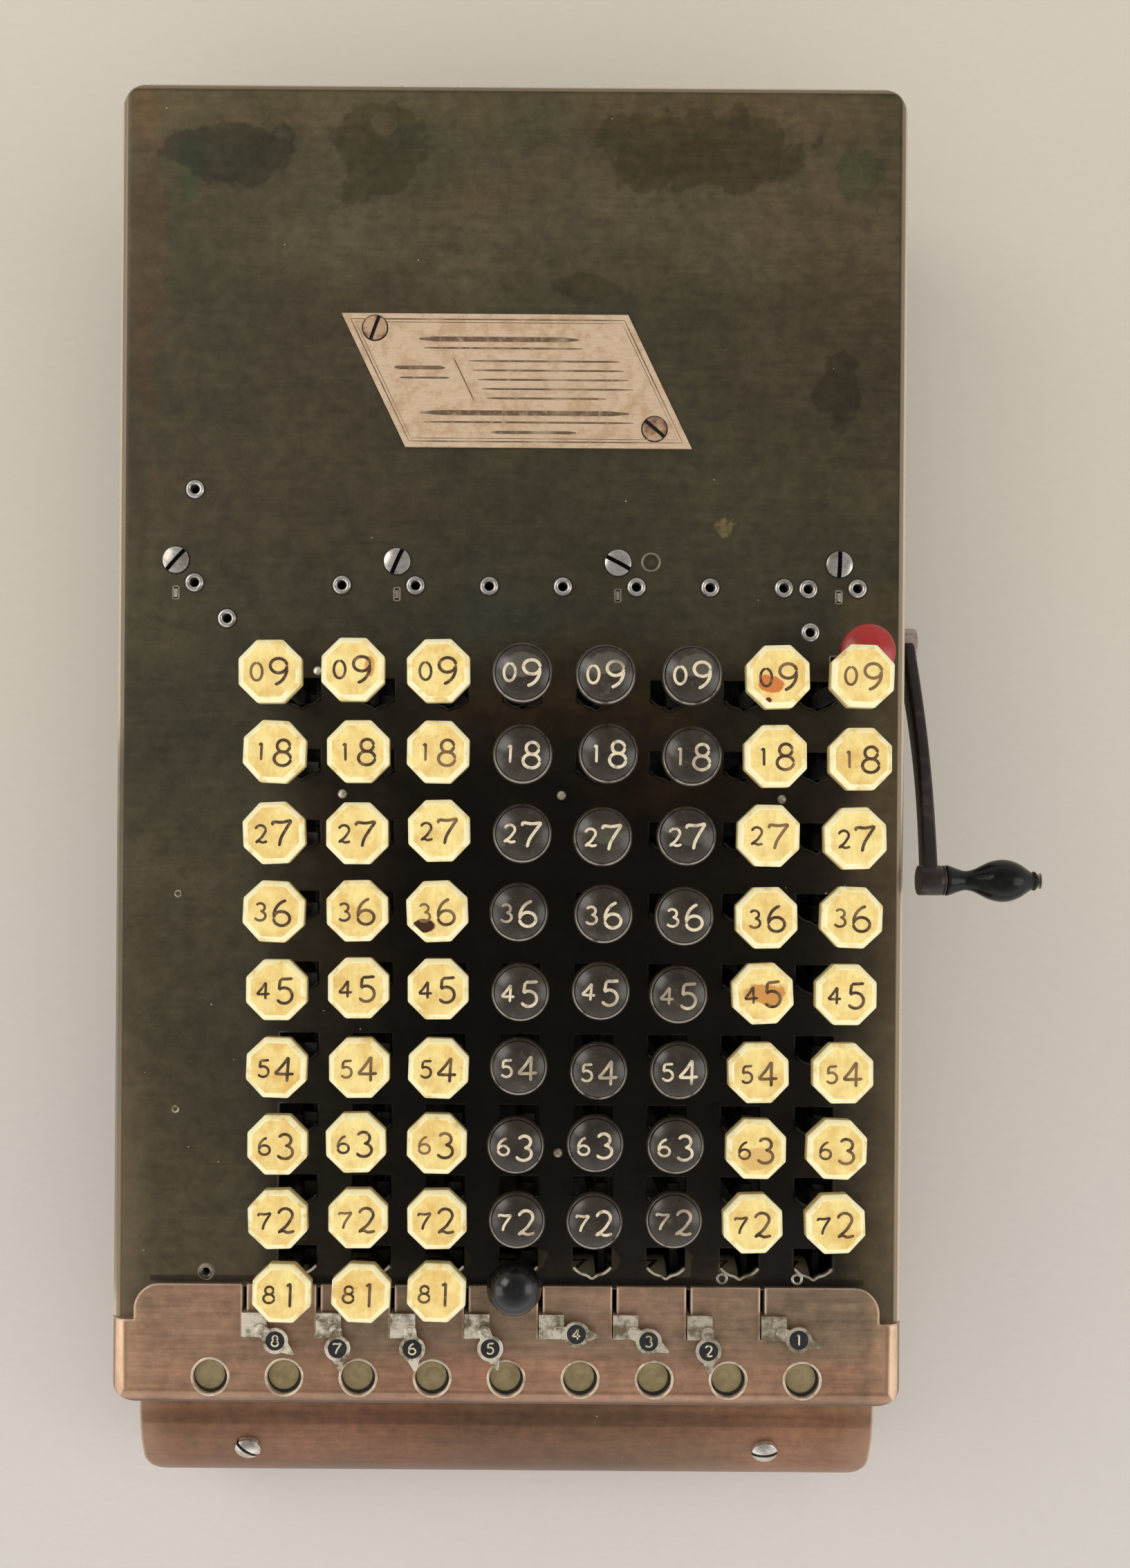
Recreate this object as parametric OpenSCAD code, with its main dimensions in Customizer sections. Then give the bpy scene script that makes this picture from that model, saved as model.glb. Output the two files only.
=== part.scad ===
// Key-driven adding machine: eight columns of digit keys, nine number wheels and a zero crank.
// X runs to the operator's right, Y to the back and Z up from the table. Sizes are in millimetres.
// Lengths along Y are counted from the top front edge of the number cover.

/* [Case] */
// Width over the side walls
case_w = 204.5; // [200:0.5:230]
// Length from the number cover's front edge to the back wall
case_l = 341.1; // [325:0.1:380]
// Height of the top plate above the table
plate_z = 86; // [84:0.5:100]
// Thickness of the top plate
plate_t = 2.5; // [1.5:0.1:3]
// Thickness of the side and back walls
wall_t = 2; // [1.2:0.1:3]
// Radius of the back corners, seen from above
corner_r = 9.5; // [4:0.5:12]
// Radius of the rounded top edges
edge_r = 3; // [1:0.25:4]

/* [Base] */
// Height of the cast pads under the base
pad_h = 3; // [2:0.5:6]
// Diameter of the cast pads
pad_d = 18; // [10:1:24]
// Distance of the pad centres from the outline
pad_inset = 20; // [16:1:40]
// Thickness of the base plate
base_t = 3; // [2:0.5:5]
// Height of the rim that stands inside the walls
rim_h = 8; // [4:0.5:12]
// Thickness of the rim
rim_t = 2; // [1:0.25:3]

/* [Number cover] */
// Height of the cover's top above the top plate
cover_t = 2; // [1.5:0.1:2.5]
// Distance of the side joint behind the front edge
joint_y = 21; // [18:0.2:22]
// Distance of the tongue's back edge behind the front edge
tongue_y = 30.3; // [28:0.1:31]
// Distance of the tongue's sides inside the case's sides
tongue_inset = 6.25; // [4:0.25:9]
// Radius of the tongue's back corners
tongue_r = 6.5; // [3:0.5:9]
// Radius of the cover's front corners, seen from above
cover_corner_r = 6.5; // [4:0.5:9]
// Lean of the front wall from upright, in degrees
front_lean = 16.5; // [12:0.5:20]
// Height of the cover's lower edge above the table
cover_foot_z = 51; // [46:0.5:54]
// Radius of the rounded shoulders
shoulder_r = 5; // [2:0.25:5.5]
// Diameter of the result windows
window_d = 8.7; // [7:0.1:9]
// Distance of the windows behind the front edge
window_y = 6.5; // [6:0.1:8]
// Thickness of the windows' panes
pane_t = 0.6; // [0.4:0.1:1.2]

/* [Front toe] */
// Reach of the toe in front of the number cover's front edge
toe_reach = 38; // [34:0.5:44]
// Radius of the toe's rounded top
toe_r = 27; // [20:0.5:28]
// Radius of the toe's front corners, seen from above
toe_corner_r = 9; // [4:0.5:12]
// Distance of the toe screws inside the case's sides
toe_screw_inset = 29.75; // [20:0.25:40]
// Lean of the toe screws from upright, in degrees
toe_screw_lean = 31.5; // [20:0.5:60]

/* [Keyboard] */
// Distance of the outermost windows' fields inside the case's sides
column_margin = 16.525; // [15:0.025:18]
// Distance between neighbouring rows
row_pitch = 18.34; // [17:0.02:19]
// Distance of the row of ones behind the front edge
row_1_y = 35; // [34.5:0.1:36]
// Offset of each key column to the right of its number window
key_offset = 2.95; // [2:0.05:3.5]
// Height of the ones' key tops above the top plate
row_1_top = 26.2; // [22:0.2:32]
// Rise of the key tops from one row to the next
row_rise = 3.74; // [2:0.02:4]
// Width of the plate's key holes
hole_w = 10.1; // [8:0.1:11]
// Depth of the key holes behind the key's centre
hole_back = 5; // [3:0.1:6]
// Depth of the key holes' straight sides in front of the key's centre
hole_side = 0.8; // [0.4:0.1:2]
// Depth of the key holes' points in front of the key's centre
hole_point = 3; // [2.6:0.1:3.4]

/* [Key caps] */
// Width of an eight-sided cap across its flats
octagon_w = 14.3; // [12:0.1:16]
// Thickness of a cap at its middle
cap_h = 5; // [3:0.25:6]
// Width of the bevel round an eight-sided cap
bevel_w = 1.2; // [0.5:0.1:2.5]
// Depth of the bevel round an eight-sided cap
bevel_h = 1; // [0.4:0.1:2]
// Diameter of a round cap
round_d = 14; // [12:0.1:16]
// Height of a round cap's dome
dome_h = 2.2; // [1:0.1:3]
// Diameter of the ball cap in the row of ones
ball_d = 13.6; // [11:0.1:15]

/* [Key stems] */
// Depth of the socket that holds the stem in its cap
socket_h = 2; // [1:0.25:2.25]
// Thickness of the flat stems
stem_t = 1.6; // [1:0.1:2]
// Width of the flat stems along the column
stem_w = 4; // [3:0.1:4.4]
// Gap round a stem in the guide plate
stem_gap = 0.2; // [0.15:0.05:0.4]
// Length of stem that stands below the guide plate
stem_tail = 4; // [2:0.5:8]
// Height of the side foot that presses the column lever
foot_h = 2.2; // [1:0.1:3]

/* [Column levers] */
// Distance of the lever shaft behind the front edge
lever_y = 290; // [280:1:305]
// Diameter of the lever shaft
lever_shaft_d = 6; // [4:0.5:8]
// Thickness of a lever
lever_t = 1.6; // [1:0.1:1.8]
// Offset of a lever to the right of its key column
lever_offset = 3.05; // [2.7:0.05:3.2]
// Height of a lever's top edge above the table
lever_top_z = 72; // [70:0.5:73]
// Depth of a lever's bar
lever_bar_h = 12; // [8:0.5:14]
// Diameter of a lever's hub
lever_hub_d = 13; // [10:0.5:16]
// Length of a lever's hub along the shaft
lever_hub_l = 6; // [3:0.5:9]
// Depth of the toothed sector behind its teeth
sector_w = 12; // [8:0.5:12]

/* [Number wheels] */
// Distance of the wheel shaft behind the front edge
wheel_y = 15.2; // [14.5:0.1:16]
// Height of the wheel shaft and the lever shaft above the table
wheel_z = 63.6; // [62:0.1:64]
// Diameter of the number wheels
wheel_d = 35; // [30:0.5:35]
// Width of the number wheels
wheel_w = 9.2; // [8:0.1:9.4]
// Diameter of the wheel shaft
wheel_shaft_d = 3.2; // [2.4:0.1:3.4]
// Thickness of a wheel's rim
wheel_rim_t = 2; // [1:0.1:3]
// Thickness of a wheel's web
wheel_web_t = 1.6; // [1:0.1:3]
// Diameter of a wheel's hub
wheel_hub_d = 9; // [8:0.5:12]
// Pitch diameter of the ten-tooth pinion
pinion_pitch_d = 6.36; // [6.2:0.01:6.4]
// Length of the pinion
pinion_l = 3; // [2.2:0.1:3.2]

/* [Cutoff levers] */
// Distance of each slit to the right of the next lever on its left
slit_clear = 2.7; // [2.2:0.05:3.1]
// Distance of the slits' front ends behind the front edge
slit_front_y = 16.9; // [16.4:0.1:17]
// Thickness of a cutoff lever
cutoff_t = 0.8; // [0.6:0.1:1.2]
// Gap at each side of a cutoff lever in its slit
slit_gap = 0.2; // [0.15:0.05:0.5]
// Distance of the cutoff shaft behind the front edge
cutoff_y = 26.5; // [25:0.5:27]
// Height of the cutoff shaft above the table
cutoff_z = 40; // [36:0.5:40.5]
// Diameter of the cutoff shaft
cutoff_shaft_d = 3; // [2:0.25:3.5]
// Diameter of a cutoff lever's hub
cutoff_hub_d = 6.4; // [5:0.2:7]
// Length of a cutoff lever's hub
cutoff_hub_l = 3; // [2:0.2:3.2]
// Distance of a thumb tab's front edge behind the front edge
tab_y = 17.3; // [17:0.1:18.2]
// Length of a thumb tab along the slit
tab_l = 6.2; // [4:0.1:7]
// Reach of a thumb tab to the right of its slit
tab_w = 6; // [5.5:0.1:7]
// Thickness of a thumb tab
tab_t = 1; // [0.6:0.1:1.2]
// Gap between the number cover and a thumb tab
tab_gap = 1.2; // [0.9:0.1:2]
// Width of a cutoff lever's neck in its slit
neck_l = 3.8; // [3:0.1:5]
// Distance of the necks behind the slits' front ends
neck_gap = 2.7; // [2:0.1:3]
// Depth of the necks' lower ends below the top plate's upper face
neck_drop = 8; // [6:0.1:12]

/* [Pointers] */
// Distance of a pointer's rivet to the right of the slit
pointer_x = 4.7; // [4:0.1:5]
// Distance of a pointer's rivet behind the tab's front edge
pointer_y = 1.9; // [1.5:0.1:3]
// Distance from the rivet to the ring's centre
pointer_arm = 4.5; // [4:0.1:5.5]
// Diameter of a pointer's ring
ring_d = 6.6; // [5:0.1:7]
// Diameter of the sunk dial in the ring
dial_d = 4.9; // [3:0.1:5]
// Depth of the sunk dial
dial_depth = 0.3; // [0.1:0.05:0.5]
// Distance from the ring's centre to the tail's tip
tail_l = 5.8; // [4:0.1:7]
// Thickness of a pointer
pointer_t = 0.8; // [0.5:0.1:1.2]
// Diameter of a pointer's rivet
rivet_d = 1.6; // [1:0.1:2]

/* [Zero crank] */
// Distance of the crank shaft behind the front edge
crank_y = 199.9; // [198:0.5:215]
// Height of the crank shaft above the table
crank_z = 56; // [52:0.5:62]
// Diameter of the crank shaft
crank_shaft_d = 6; // [4:0.5:8]
// Length of the arm between its centres
crank_r = 71; // [50:0.5:76]
// Lift of the resting arm above level, in degrees
crank_lift = 25; // [10:1:45]
// Thickness of the arm
crank_t = 4; // [2.5:0.25:5]
// Gap between the case and the arm
crank_gap = 4.1; // [2:0.1:8]
// Diameter of the arm's hub
crank_hub_d = 9.6; // [9:0.2:14]
// Diameter of the arm's outer end
crank_end_d = 7.8; // [6:0.2:10]
// Length of the turned handle
handle_l = 24; // [20:0.5:40]
// Diameter of the handle at its belly
handle_d = 11; // [8:0.25:16]
// Diameter of the handle's spindle
spindle_d = 2.5; // [1.6:0.1:3]
// Length of the boss between the arm and the handle
boss_l = 2; // [1:0.25:4]
// Diameter of the stop collar on the shaft's inner end
stop_d = 18; // [12:0.5:20]
// Thickness of the stop collar
stop_t = 3; // [2:0.5:3.5]

/* [Release key] */
// Offset of the release key's cap to the right of the last key column
release_offset = 4.75; // [4:0.05:5.5]
// Distance of the release key behind the front edge
release_y = 190; // [189.4:0.1:194]
// Diameter of the release key's cap
release_d = 13; // [10:0.1:13]
// Height of the release key's top above the plate
release_top = 40; // [30:0.5:41]
// Offset of the release key's stem to the right of its cap
release_stem_x = 0.8; // [0.6:0.1:2]

/* [Name plate] */
// Length of the name plate
name_w = 74; // [50:0.5:90]
// Height of the name plate
name_h = 34.5; // [20:0.5:45]
// Sideways slant of the name plate from its back to its front edge
name_slant = 16.7; // [0:0.5:25]
// Distance of the name plate's back left corner left of the centreline
name_left = 44.5; // [40:0.5:60]
// Distance of the name plate's back edge behind the front edge
name_y = 281; // [270:0.5:300]
// Thickness of the name plate
name_t = 0.8; // [0.4:0.1:1.5]
// Inset of the name plate's screws from its slanted ends
name_screw_inset = 7; // [5:0.25:10]

/* [Screws and rivets] */
// Diameter of the plate screws' heads
screw_head_d = 6.75; // [4:0.25:8]
// Height of the plate screws' heads
screw_head_h = 0.9; // [0.5:0.1:1.5]
// Diameter of the screws' shanks
screw_d = 3; // [2:0.25:3.5]
// Width of the screwdriver slots
slot_w = 1; // [0.4:0.1:1.2]
// Diameter of the ring rivets' flanges
ring_rivet_d = 5; // [4.4:0.1:6]
// Diameter of the ring rivets' shanks
ring_shank_d = 3.8; // [3:0.1:4]
// Diameter of the ring rivets' holes
ring_hole_d = 2.4; // [1:0.1:2.6]
// Height of the ring rivets' flanges
ring_rivet_h = 0.5; // [0.2:0.1:1]
// Distance of the plate screws behind the front edge
screw_y = 217; // [212:0.5:230]
// Distance of the first plate screw inside the case's left side
screw_inset = 15.35; // [14:0.05:20]
// Distance of the row of ring rivets behind the front edge
rivet_y = 210.8; // [208:0.1:212]
// Offset of the row's ring rivets to the right of the number windows
rivet_offset = 32.2; // [31:0.1:33]
// Width of the bright rims round the result windows
window_rim_w = 0.75; // [0.4:0.05:1]
// Height of the bright rims round the result windows
window_rim_h = 0.4; // [0.2:0.1:0.8]

/* [Frame] */
// Thickness of the two side frames
frame_t = 2; // [1.5:0.1:3]
// Distance of the side frames' inner faces inside the case's sides
frame_inset = 9.25; // [8.25:0.25:10]
// Height of the guide plate above the table
guide_z = 38; // [30:0.5:39]
// Thickness of the guide plate
guide_t = 1.5; // [1:0.1:2]
// Diameter of the tie rods
tie_d = 5; // [4:0.5:8]
// Width of the collars round the ends of the shafts and rods
collar_w = 1.5; // [1:0.1:2]

/* [Hidden] */
// Smoothness of the round surfaces
$fn = 64;
// Overlap of a cutting shape past the face that it cuts
over = 1;
// Gap all round between a shaft and the piece that turns on it
run_gap = 0.05;
// Hairline gap between two pieces that are fixed together
seam = 0.02;
// Gap between a pressed piece and the piece that it drives
touch_gap = 0.3;
// Gap that keeps two moving pieces apart
free_gap = 0.4;
// Gap all round between pieces that slip into each other
slip_gap = 0.2;
// Turn of the screwdriver slots, in degrees
slot_turn = 35;
// Length of a screw's shank below the sheet that it holds
shank_l = 3;
// Thickness of the small riveted and peened heads
peen_t = 0.4;
// Half widths of a tooth at its root, pitch line and tip
tooth_half = [0.52, 0.36, 0.16];
// Width and depth of the notches in the top plate, and their distance in front of the screws
notch = [1.2, 3];
notch_gap = 9.9;
// Length of the side frames in front of the wheel shaft and behind the lever shaft
frame_ends = [8, 12];
// Notch of a side frame over the toe's seat, and its openings' size, places and height
toe_notch = [14, 16];
opening = [50, 22];
opening_ys = [46, 115, 222];
opening_rise = 12;
// Length of the guide plate behind the row of nines
guide_tail = 16;
// Gap between the case and the crank's hub
hub_gap = 1.4;
// Distance of the stop collar's inner face inside the side frame
stop_inset = 5;

columns = 8;
rows = 9;
column_pitch = (case_w - 2 * column_margin) / (columns + 1);
frame_x = case_w / 2 - frame_inset;
tongue_w = case_w - 2 * tongue_inset;
toe_screw_x = case_w / 2 - toe_screw_inset;
base_z = pad_h + base_t;
cover_z = plate_z + cover_t;
lean = tan(front_lean);
frame_top_z = plate_z - plate_t - free_gap;
// Deepest press of a lever is nine teeth of the ten-tooth pinion
pinion_r = pinion_pitch_d / 2;
sector_r = lever_y - wheel_y - pinion_r;
// Digits on a wheel, and teeth on its pinion and on a lever's sector
digits = 10;
tooth_pitch = PI * pinion_pitch_d / digits;
digit_angle = tooth_pitch / sector_r;
addendum = 0.6;
dedendum = 0.75;
toe_axis_y = toe_r - toe_reach;
toe_axis_z = cover_foot_z - toe_r;
crank_x = case_w / 2 + crank_gap;
handle_x = crank_x + crank_t + boss_l;
// Play and thickness of the spindle's head at the handle's end
spindle_play = 0.5;
spindle_head_t = 0.6;
end_x = handle_x + handle_l + spindle_play + spindle_head_t;
// The whole object's middle, which becomes the origin
middle_x = (end_x - case_w / 2) / 2;
middle_y = (case_l - toe_reach) / 2;
// Extra height and dome height of the ball cap as shares of its diameter
ball_lift = 0.15;
ball_dome = 0.44;
missing = [[5, 1], [6, 1], [7, 1], [8, 1]];
round_columns = [4, 5, 6];
// Resting direction of each pointer, in degrees from the right
pointer_turn = [-36, -83, -82, -70, -5, -28, -87, -19];
// The plate screws stand three columns apart
screw_xs = [for (i = [0 : 3]) screw_inset - case_w / 2 + 3 * i * column_pitch];
// Side, distance inside that side and distance behind the front edge of each single ring rivet
extra_rivets = [[-1, 20.15, 211.2], [1, 25.65, 210.6], [-1, 20.15, 235.3], [-1, 28.65, 202],
    [1, 25.05, 199.4], [-1, 24.45, 33.1]];
// Distance behind the front edge and height above the base plate of each tie rod
ties = [[36, 8], [204, 20], [lever_y, 16]];

function window_x(i) = (i - columns / 2) * column_pitch;
function key_x(k) = window_x(k) + key_offset;
function lever_x(k) = key_x(k) + lever_offset;
function slit_x(k) = lever_x(k - 1) + slit_clear;
function row_y(n) = row_1_y + (n - 1) * row_pitch;
function release_x() = key_x(columns) + release_offset;
function key_top(n) = plate_z + row_1_top + (n - 1) * row_rise;
// A key of digit n turns its lever by n teeth
function stroke(n) = (lever_y - row_y(n)) * n * digit_angle;
function is_missing(k, n) = len([for (m = missing) if (m == [k, n]) m]) > 0;
function is_round(k) = len([for (c = round_columns) if (c == k) c]) > 0;
function columns_of(n) = [for (k = [1 : columns]) if (!is_missing(k, n)) k];

KEY_ROWS = [for (n = [1 : rows - 1]) str("key_row_", n)];
NINE_KEYS = [for (k = [1 : columns]) str("key_9_column_", k)];
LEVERS = [for (k = [1 : columns]) str("column_lever_", k)];
WHEELS = [for (i = [0 : columns]) str("number_wheel_", i)];
CUTOFFS = [for (k = [1 : columns]) str("cutoff_lever_", k)];
POINTERS = [for (k = [1 : columns]) str("pointer_", k)];
FIXED = ["base_pan", "case_shell", "number_cover", "front_toe", "name_plate",
    "mechanism_frame", "frame_shafts", "screws_and_rivets"];

// Extrudes a shape drawn in Y and Z from x0 to x1
module along_x(x0, x1) {
    translate([x0, 0, 0]) rotate([90, 0, 90]) linear_extrude(height = x1 - x0) children();
}

// Extrudes a shape drawn in X and Z from y0 to y1
module along_y(y0, y1) {
    translate([0, y1, 0]) rotate([90, 0, 0]) linear_extrude(height = y1 - y0) children();
}

// Extrudes a shape drawn in X and Y from z0 to z1
module along_z(z0, z1) {
    translate([0, 0, z0]) linear_extrude(height = z1 - z0) children();
}

// Cylinder along X from x0 to x1, centred on y and z
module rod(x0, x1, y, z, d) {
    translate([x0, y, z]) rotate([0, 90, 0]) cylinder(h = x1 - x0, d = d);
}

// Waste outside a rounded corner at the origin, with the body in the positive quadrant
module corner_waste(r) {
    difference() {
        translate([-over, -over]) square(r + over);
        translate([r, r]) circle(r);
    }
}

// Rectangle from y0 to y1 about the centreline with its own front and back corner radii
module rounded_plan(w, y0, y1, r_front, r_back) {
    difference() {
        translate([-w / 2, y0]) square([w, y1 - y0]);
        for (side = [0, 1]) mirror([side, 0]) {
            if (r_front > 0) translate([-w / 2, y0]) corner_waste(r_front);
            if (r_back > 0) translate([-w / 2, y1]) mirror([0, 1]) corner_waste(r_back);
        }
    }
}

// Bar that tapers between two round bosses, a little inside their tangents
module taper_bar(p, d_p, q, d_q) {
    way = q - p;
    turn = atan2(way[1], way[0]);
    tilt = acos((d_p - d_q) / 2 / norm(way));
    inset = 0.1;
    function rim(c, d, side) = c + (d / 2 - inset) * [cos(turn + side * tilt), sin(turn + side * tilt)];
    polygon([rim(p, d_p, 1), rim(q, d_q, 1), rim(q, d_q, -1), rim(p, d_p, -1)]);
}

// Slotted round-headed screw that points down from the origin
module screw(head_d, head_h, length, shank_d = screw_d) {
    difference() {
        cylinder(h = head_h, d = head_d);
        translate([0, 0, head_h]) rotate([0, 0, slot_turn])
            cube([head_d + over, slot_w, head_h], center = true);
    }
    translate([0, 0, -length]) cylinder(h = length, d = shank_d);
}

// Pierced ring rivet that points down from the origin
module ring_rivet() {
    difference() {
        union() {
            cylinder(h = ring_rivet_h, d = ring_rivet_d);
            translate([0, 0, -plate_t]) cylinder(h = plate_t, d = ring_shank_d);
        }
        translate([0, 0, -plate_t - over]) cylinder(h = plate_t + 3 * over, d = ring_hole_d);
    }
}

module place_rivets() {
    for (i = [0 : columns - 1]) translate([window_x(i) + rivet_offset, rivet_y, 0]) children();
    for (p = extra_rivets) translate([p[0] * (case_w / 2 - p[1]), p[2], 0]) children();
}

module place_screws() {
    for (x = screw_xs) translate([x, screw_y, 0]) children();
}

module place_name_screws() {
    slant = name_slant * name_screw_inset / 2 / name_h;
    back_inset = name_screw_inset * 0.55;
    front_inset = name_screw_inset * 0.72;
    left = [name_screw_inset + slant, -back_inset];
    right = [name_w + name_slant - name_screw_inset - slant, front_inset - name_h];
    for (p = [left, right]) translate([p[0] - name_left, p[1] + name_y, 0]) children();
}

module place_toe_screws() {
    for (x = [-toe_screw_x, toe_screw_x]) translate([x, toe_axis_y, toe_axis_z])
        rotate([toe_screw_lean, 0, 0]) translate([0, 0, toe_r]) children();
}

// Plan of the whole machine, inset by t
module machine_plan(t) {
    rounded_plan(case_w - 2 * t, t - toe_reach, case_l - t,
        max(toe_corner_r - t, 0), max(corner_r - t, 0));
}

module base_pan() {
    rim_gap = wall_t + slip_gap;
    pad_x = case_w / 2 - pad_inset;
    color([0.32, 0.26, 0.2]) {
        along_z(pad_h, base_z) machine_plan(0);
        difference() {
            along_z(base_z, base_z + rim_h) machine_plan(rim_gap);
            along_z(base_z, base_z + rim_h + over) machine_plan(rim_gap + rim_t);
        }
        for (x = [-pad_x, pad_x], y = [pad_inset - toe_reach, case_l - pad_inset])
            translate([x, y, 0]) cylinder(h = pad_h, d = pad_d);
    }
}

// Hole in the top plate for one key, with a pointed front side
module key_hole() {
    half = hole_w / 2;
    polygon([[-half, hole_back], [-half, -hole_side], [0, -hole_point], [half, -hole_side],
        [half, hole_back]]);
}

module case_shell() {
    slit_back_y = tongue_y - 1.1;
    release_hole = [stem_t + 2.8, stem_w + 2.4];
    color([0.36, 0.32, 0.24]) difference() {
        intersection() {
            along_z(base_z, plate_z) rounded_plan(case_w, joint_y, case_l, 0, corner_r);
            along_y(joint_y - over, case_l + over) difference() {
                translate([-case_w / 2, base_z]) square([case_w, plate_z - base_z]);
                for (side = [0, 1]) mirror([side, 0])
                    translate([-case_w / 2, plate_z]) mirror([0, 1]) corner_waste(edge_r);
            }
            along_x(-case_w / 2 - over, case_w / 2 + over) difference() {
                translate([joint_y - over, base_z]) square([case_l - joint_y + over, plate_z - base_z]);
                translate([case_l, plate_z]) mirror([1, 0]) mirror([0, 1]) corner_waste(edge_r);
            }
        }
        along_z(base_z - over, plate_z - plate_t) rounded_plan(case_w - 2 * wall_t, joint_y - over,
            case_l - wall_t, 0, corner_r - wall_t);
        along_z(plate_z - plate_t - over, plate_z + over) {
            for (k = [1 : columns], n = [1 : rows]) translate([key_x(k), row_y(n)]) key_hole();
            for (k = [1 : columns]) translate([slit_x(k) - cutoff_t / 2 - slit_gap, joint_y - over])
                square([cutoff_t + 2 * slit_gap, slit_back_y - joint_y + over]);
            place_rivets() circle(d = ring_shank_d);
            place_screws() circle(d = screw_d);
            place_name_screws() circle(d = screw_d * 0.8);
            for (x = screw_xs) translate([x - notch[0] / 2, screw_y - notch_gap]) square(notch);
            translate([release_x() + release_stem_x, release_y]) square(release_hole, center = true);
        }
        rod(case_w / 2 - wall_t - over, case_w / 2 + over, crank_y, crank_z, crank_shaft_d + 2 * free_gap);
    }
}

// Side view of the number cover's front, drawn inset by t from its outside
module front_profile(t) {
    top_z = cover_z - t;
    edge_y = t * (1 / cos(front_lean) - lean);
    r = shoulder_r - t;
    tangent = r / tan(45 + front_lean / 2);
    front_end = [edge_y - tangent * sin(front_lean), top_z - tangent * cos(front_lean)];
    low_z = cover_foot_z - (t > 0 ? over : 0);
    back_y = joint_y + (t > 0 ? over : 0);
    polygon([[edge_y + tangent, top_z], front_end, [edge_y - (top_z - low_z) * lean, low_z],
        [back_y, low_z], [back_y, top_z]]);
    translate([edge_y + tangent, top_z - r]) circle(r);
}

// Leaning prism with the number cover's width and rounded front corners, inset by t
module leaning_prism(t) {
    translate([0, 0, cover_z]) rotate([-front_lean, 0, 0]) along_z(-cover_z, cover_z / 2)
        rounded_plan(case_w - 2 * t, t, 2 * tongue_y, cover_corner_r - t, 0);
}

module number_cover() {
    color([0.62, 0.42, 0.3]) difference() {
        union() {
            difference() {
                intersection() {
                    along_x(-case_w / 2, case_w / 2) front_profile(0);
                    leaning_prism(0);
                    along_y(-toe_reach, joint_y + over) difference() {
                        translate([-case_w / 2, cover_foot_z - over])
                            square([case_w, cover_z - cover_foot_z + over]);
                        for (side = [0, 1]) mirror([side, 0])
                            translate([-case_w / 2, cover_z]) mirror([0, 1]) corner_waste(shoulder_r);
                    }
                }
                intersection() {
                    along_x(-case_w / 2, case_w / 2) front_profile(cover_t);
                    leaning_prism(cover_t);
                }
            }
            along_z(plate_z, cover_z) rounded_plan(tongue_w, joint_y - over, tongue_y, 0, tongue_r);
        }
        along_z(plate_z - over, cover_z + over) {
            for (i = [0 : columns]) translate([window_x(i), window_y]) circle(d = window_d);
            for (k = [1 : columns]) translate([slit_x(k) - cutoff_t / 2 - slit_gap, slit_front_y])
                square([cutoff_t + 2 * slit_gap, tongue_y - slit_front_y + over]);
        }
    }
}

// Side view of the toe, drawn inset by t from its outside
module toe_profile(t) {
    low_z = base_z - (t > 0 ? over : 0);
    back_y = joint_y + (t > 0 ? over : 0);
    top_z = cover_foot_z + (t > 0 ? over : 0);
    translate([toe_axis_y, low_z]) square([back_y - toe_axis_y, top_z - low_z]);
    translate([t - toe_reach, low_z]) square([toe_r - t, toe_axis_z - low_z]);
    intersection() {
        translate([toe_axis_y, toe_axis_z]) circle(toe_r - t);
        translate([-toe_reach, toe_axis_z]) square(toe_r);
    }
}

module front_toe() {
    color([0.55, 0.37, 0.26]) difference() {
        intersection() {
            along_x(-case_w / 2, case_w / 2) toe_profile(0);
            along_z(base_z, cover_foot_z + over) rounded_plan(case_w, -toe_reach, joint_y, toe_corner_r, 0);
        }
        intersection() {
            along_x(-case_w / 2, case_w / 2) toe_profile(wall_t);
            along_z(base_z - over, cover_foot_z + 2 * over) rounded_plan(case_w - 2 * wall_t,
                wall_t - toe_reach, joint_y + 2 * over, toe_corner_r - wall_t, 0);
        }
        place_toe_screws() translate([0, 0, -wall_t - over]) cylinder(h = wall_t + 2 * over, d = screw_d);
    }
}

module name_plate() {
    color([0.8, 0.72, 0.62]) difference() {
        along_z(plate_z, plate_z + name_t) translate([-name_left, name_y])
            polygon([[0, 0], [name_w, 0], [name_w + name_slant, -name_h], [name_slant, -name_h]]);
        translate([0, 0, plate_z - over]) place_name_screws()
            cylinder(h = name_t + 2 * over, d = screw_d * 0.8);
    }
}

// Outline of a side frame with its shaft bores and three openings
module frame_side() {
    front_y = wheel_y - frame_ends[0];
    back_y = lever_y + frame_ends[1];
    difference() {
        translate([front_y, base_z]) square([back_y - front_y, frame_top_z - base_z]);
        translate([front_y - over, base_z - over]) square(toe_notch);
        for (p = concat(shaft_places(), tie_places()))
            translate([p[0], p[1]]) circle(d = p[2] + 2 * run_gap);
        for (y = opening_ys) translate([y, base_z + opening_rise]) square(opening);
        translate([crank_y, crank_z]) circle(d = crank_shaft_d + 2 * run_gap);
    }
}

// Y, Z and diameter of each shaft that carries moving pieces
function shaft_places() = [[wheel_y, wheel_z, wheel_shaft_d], [lever_y, wheel_z, lever_shaft_d],
    [cutoff_y, cutoff_z, cutoff_shaft_d]];

// Y, Z and diameter of each tie rod
function tie_places() = [for (t = ties) [t[0], base_z + t[1], tie_d]];

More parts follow.
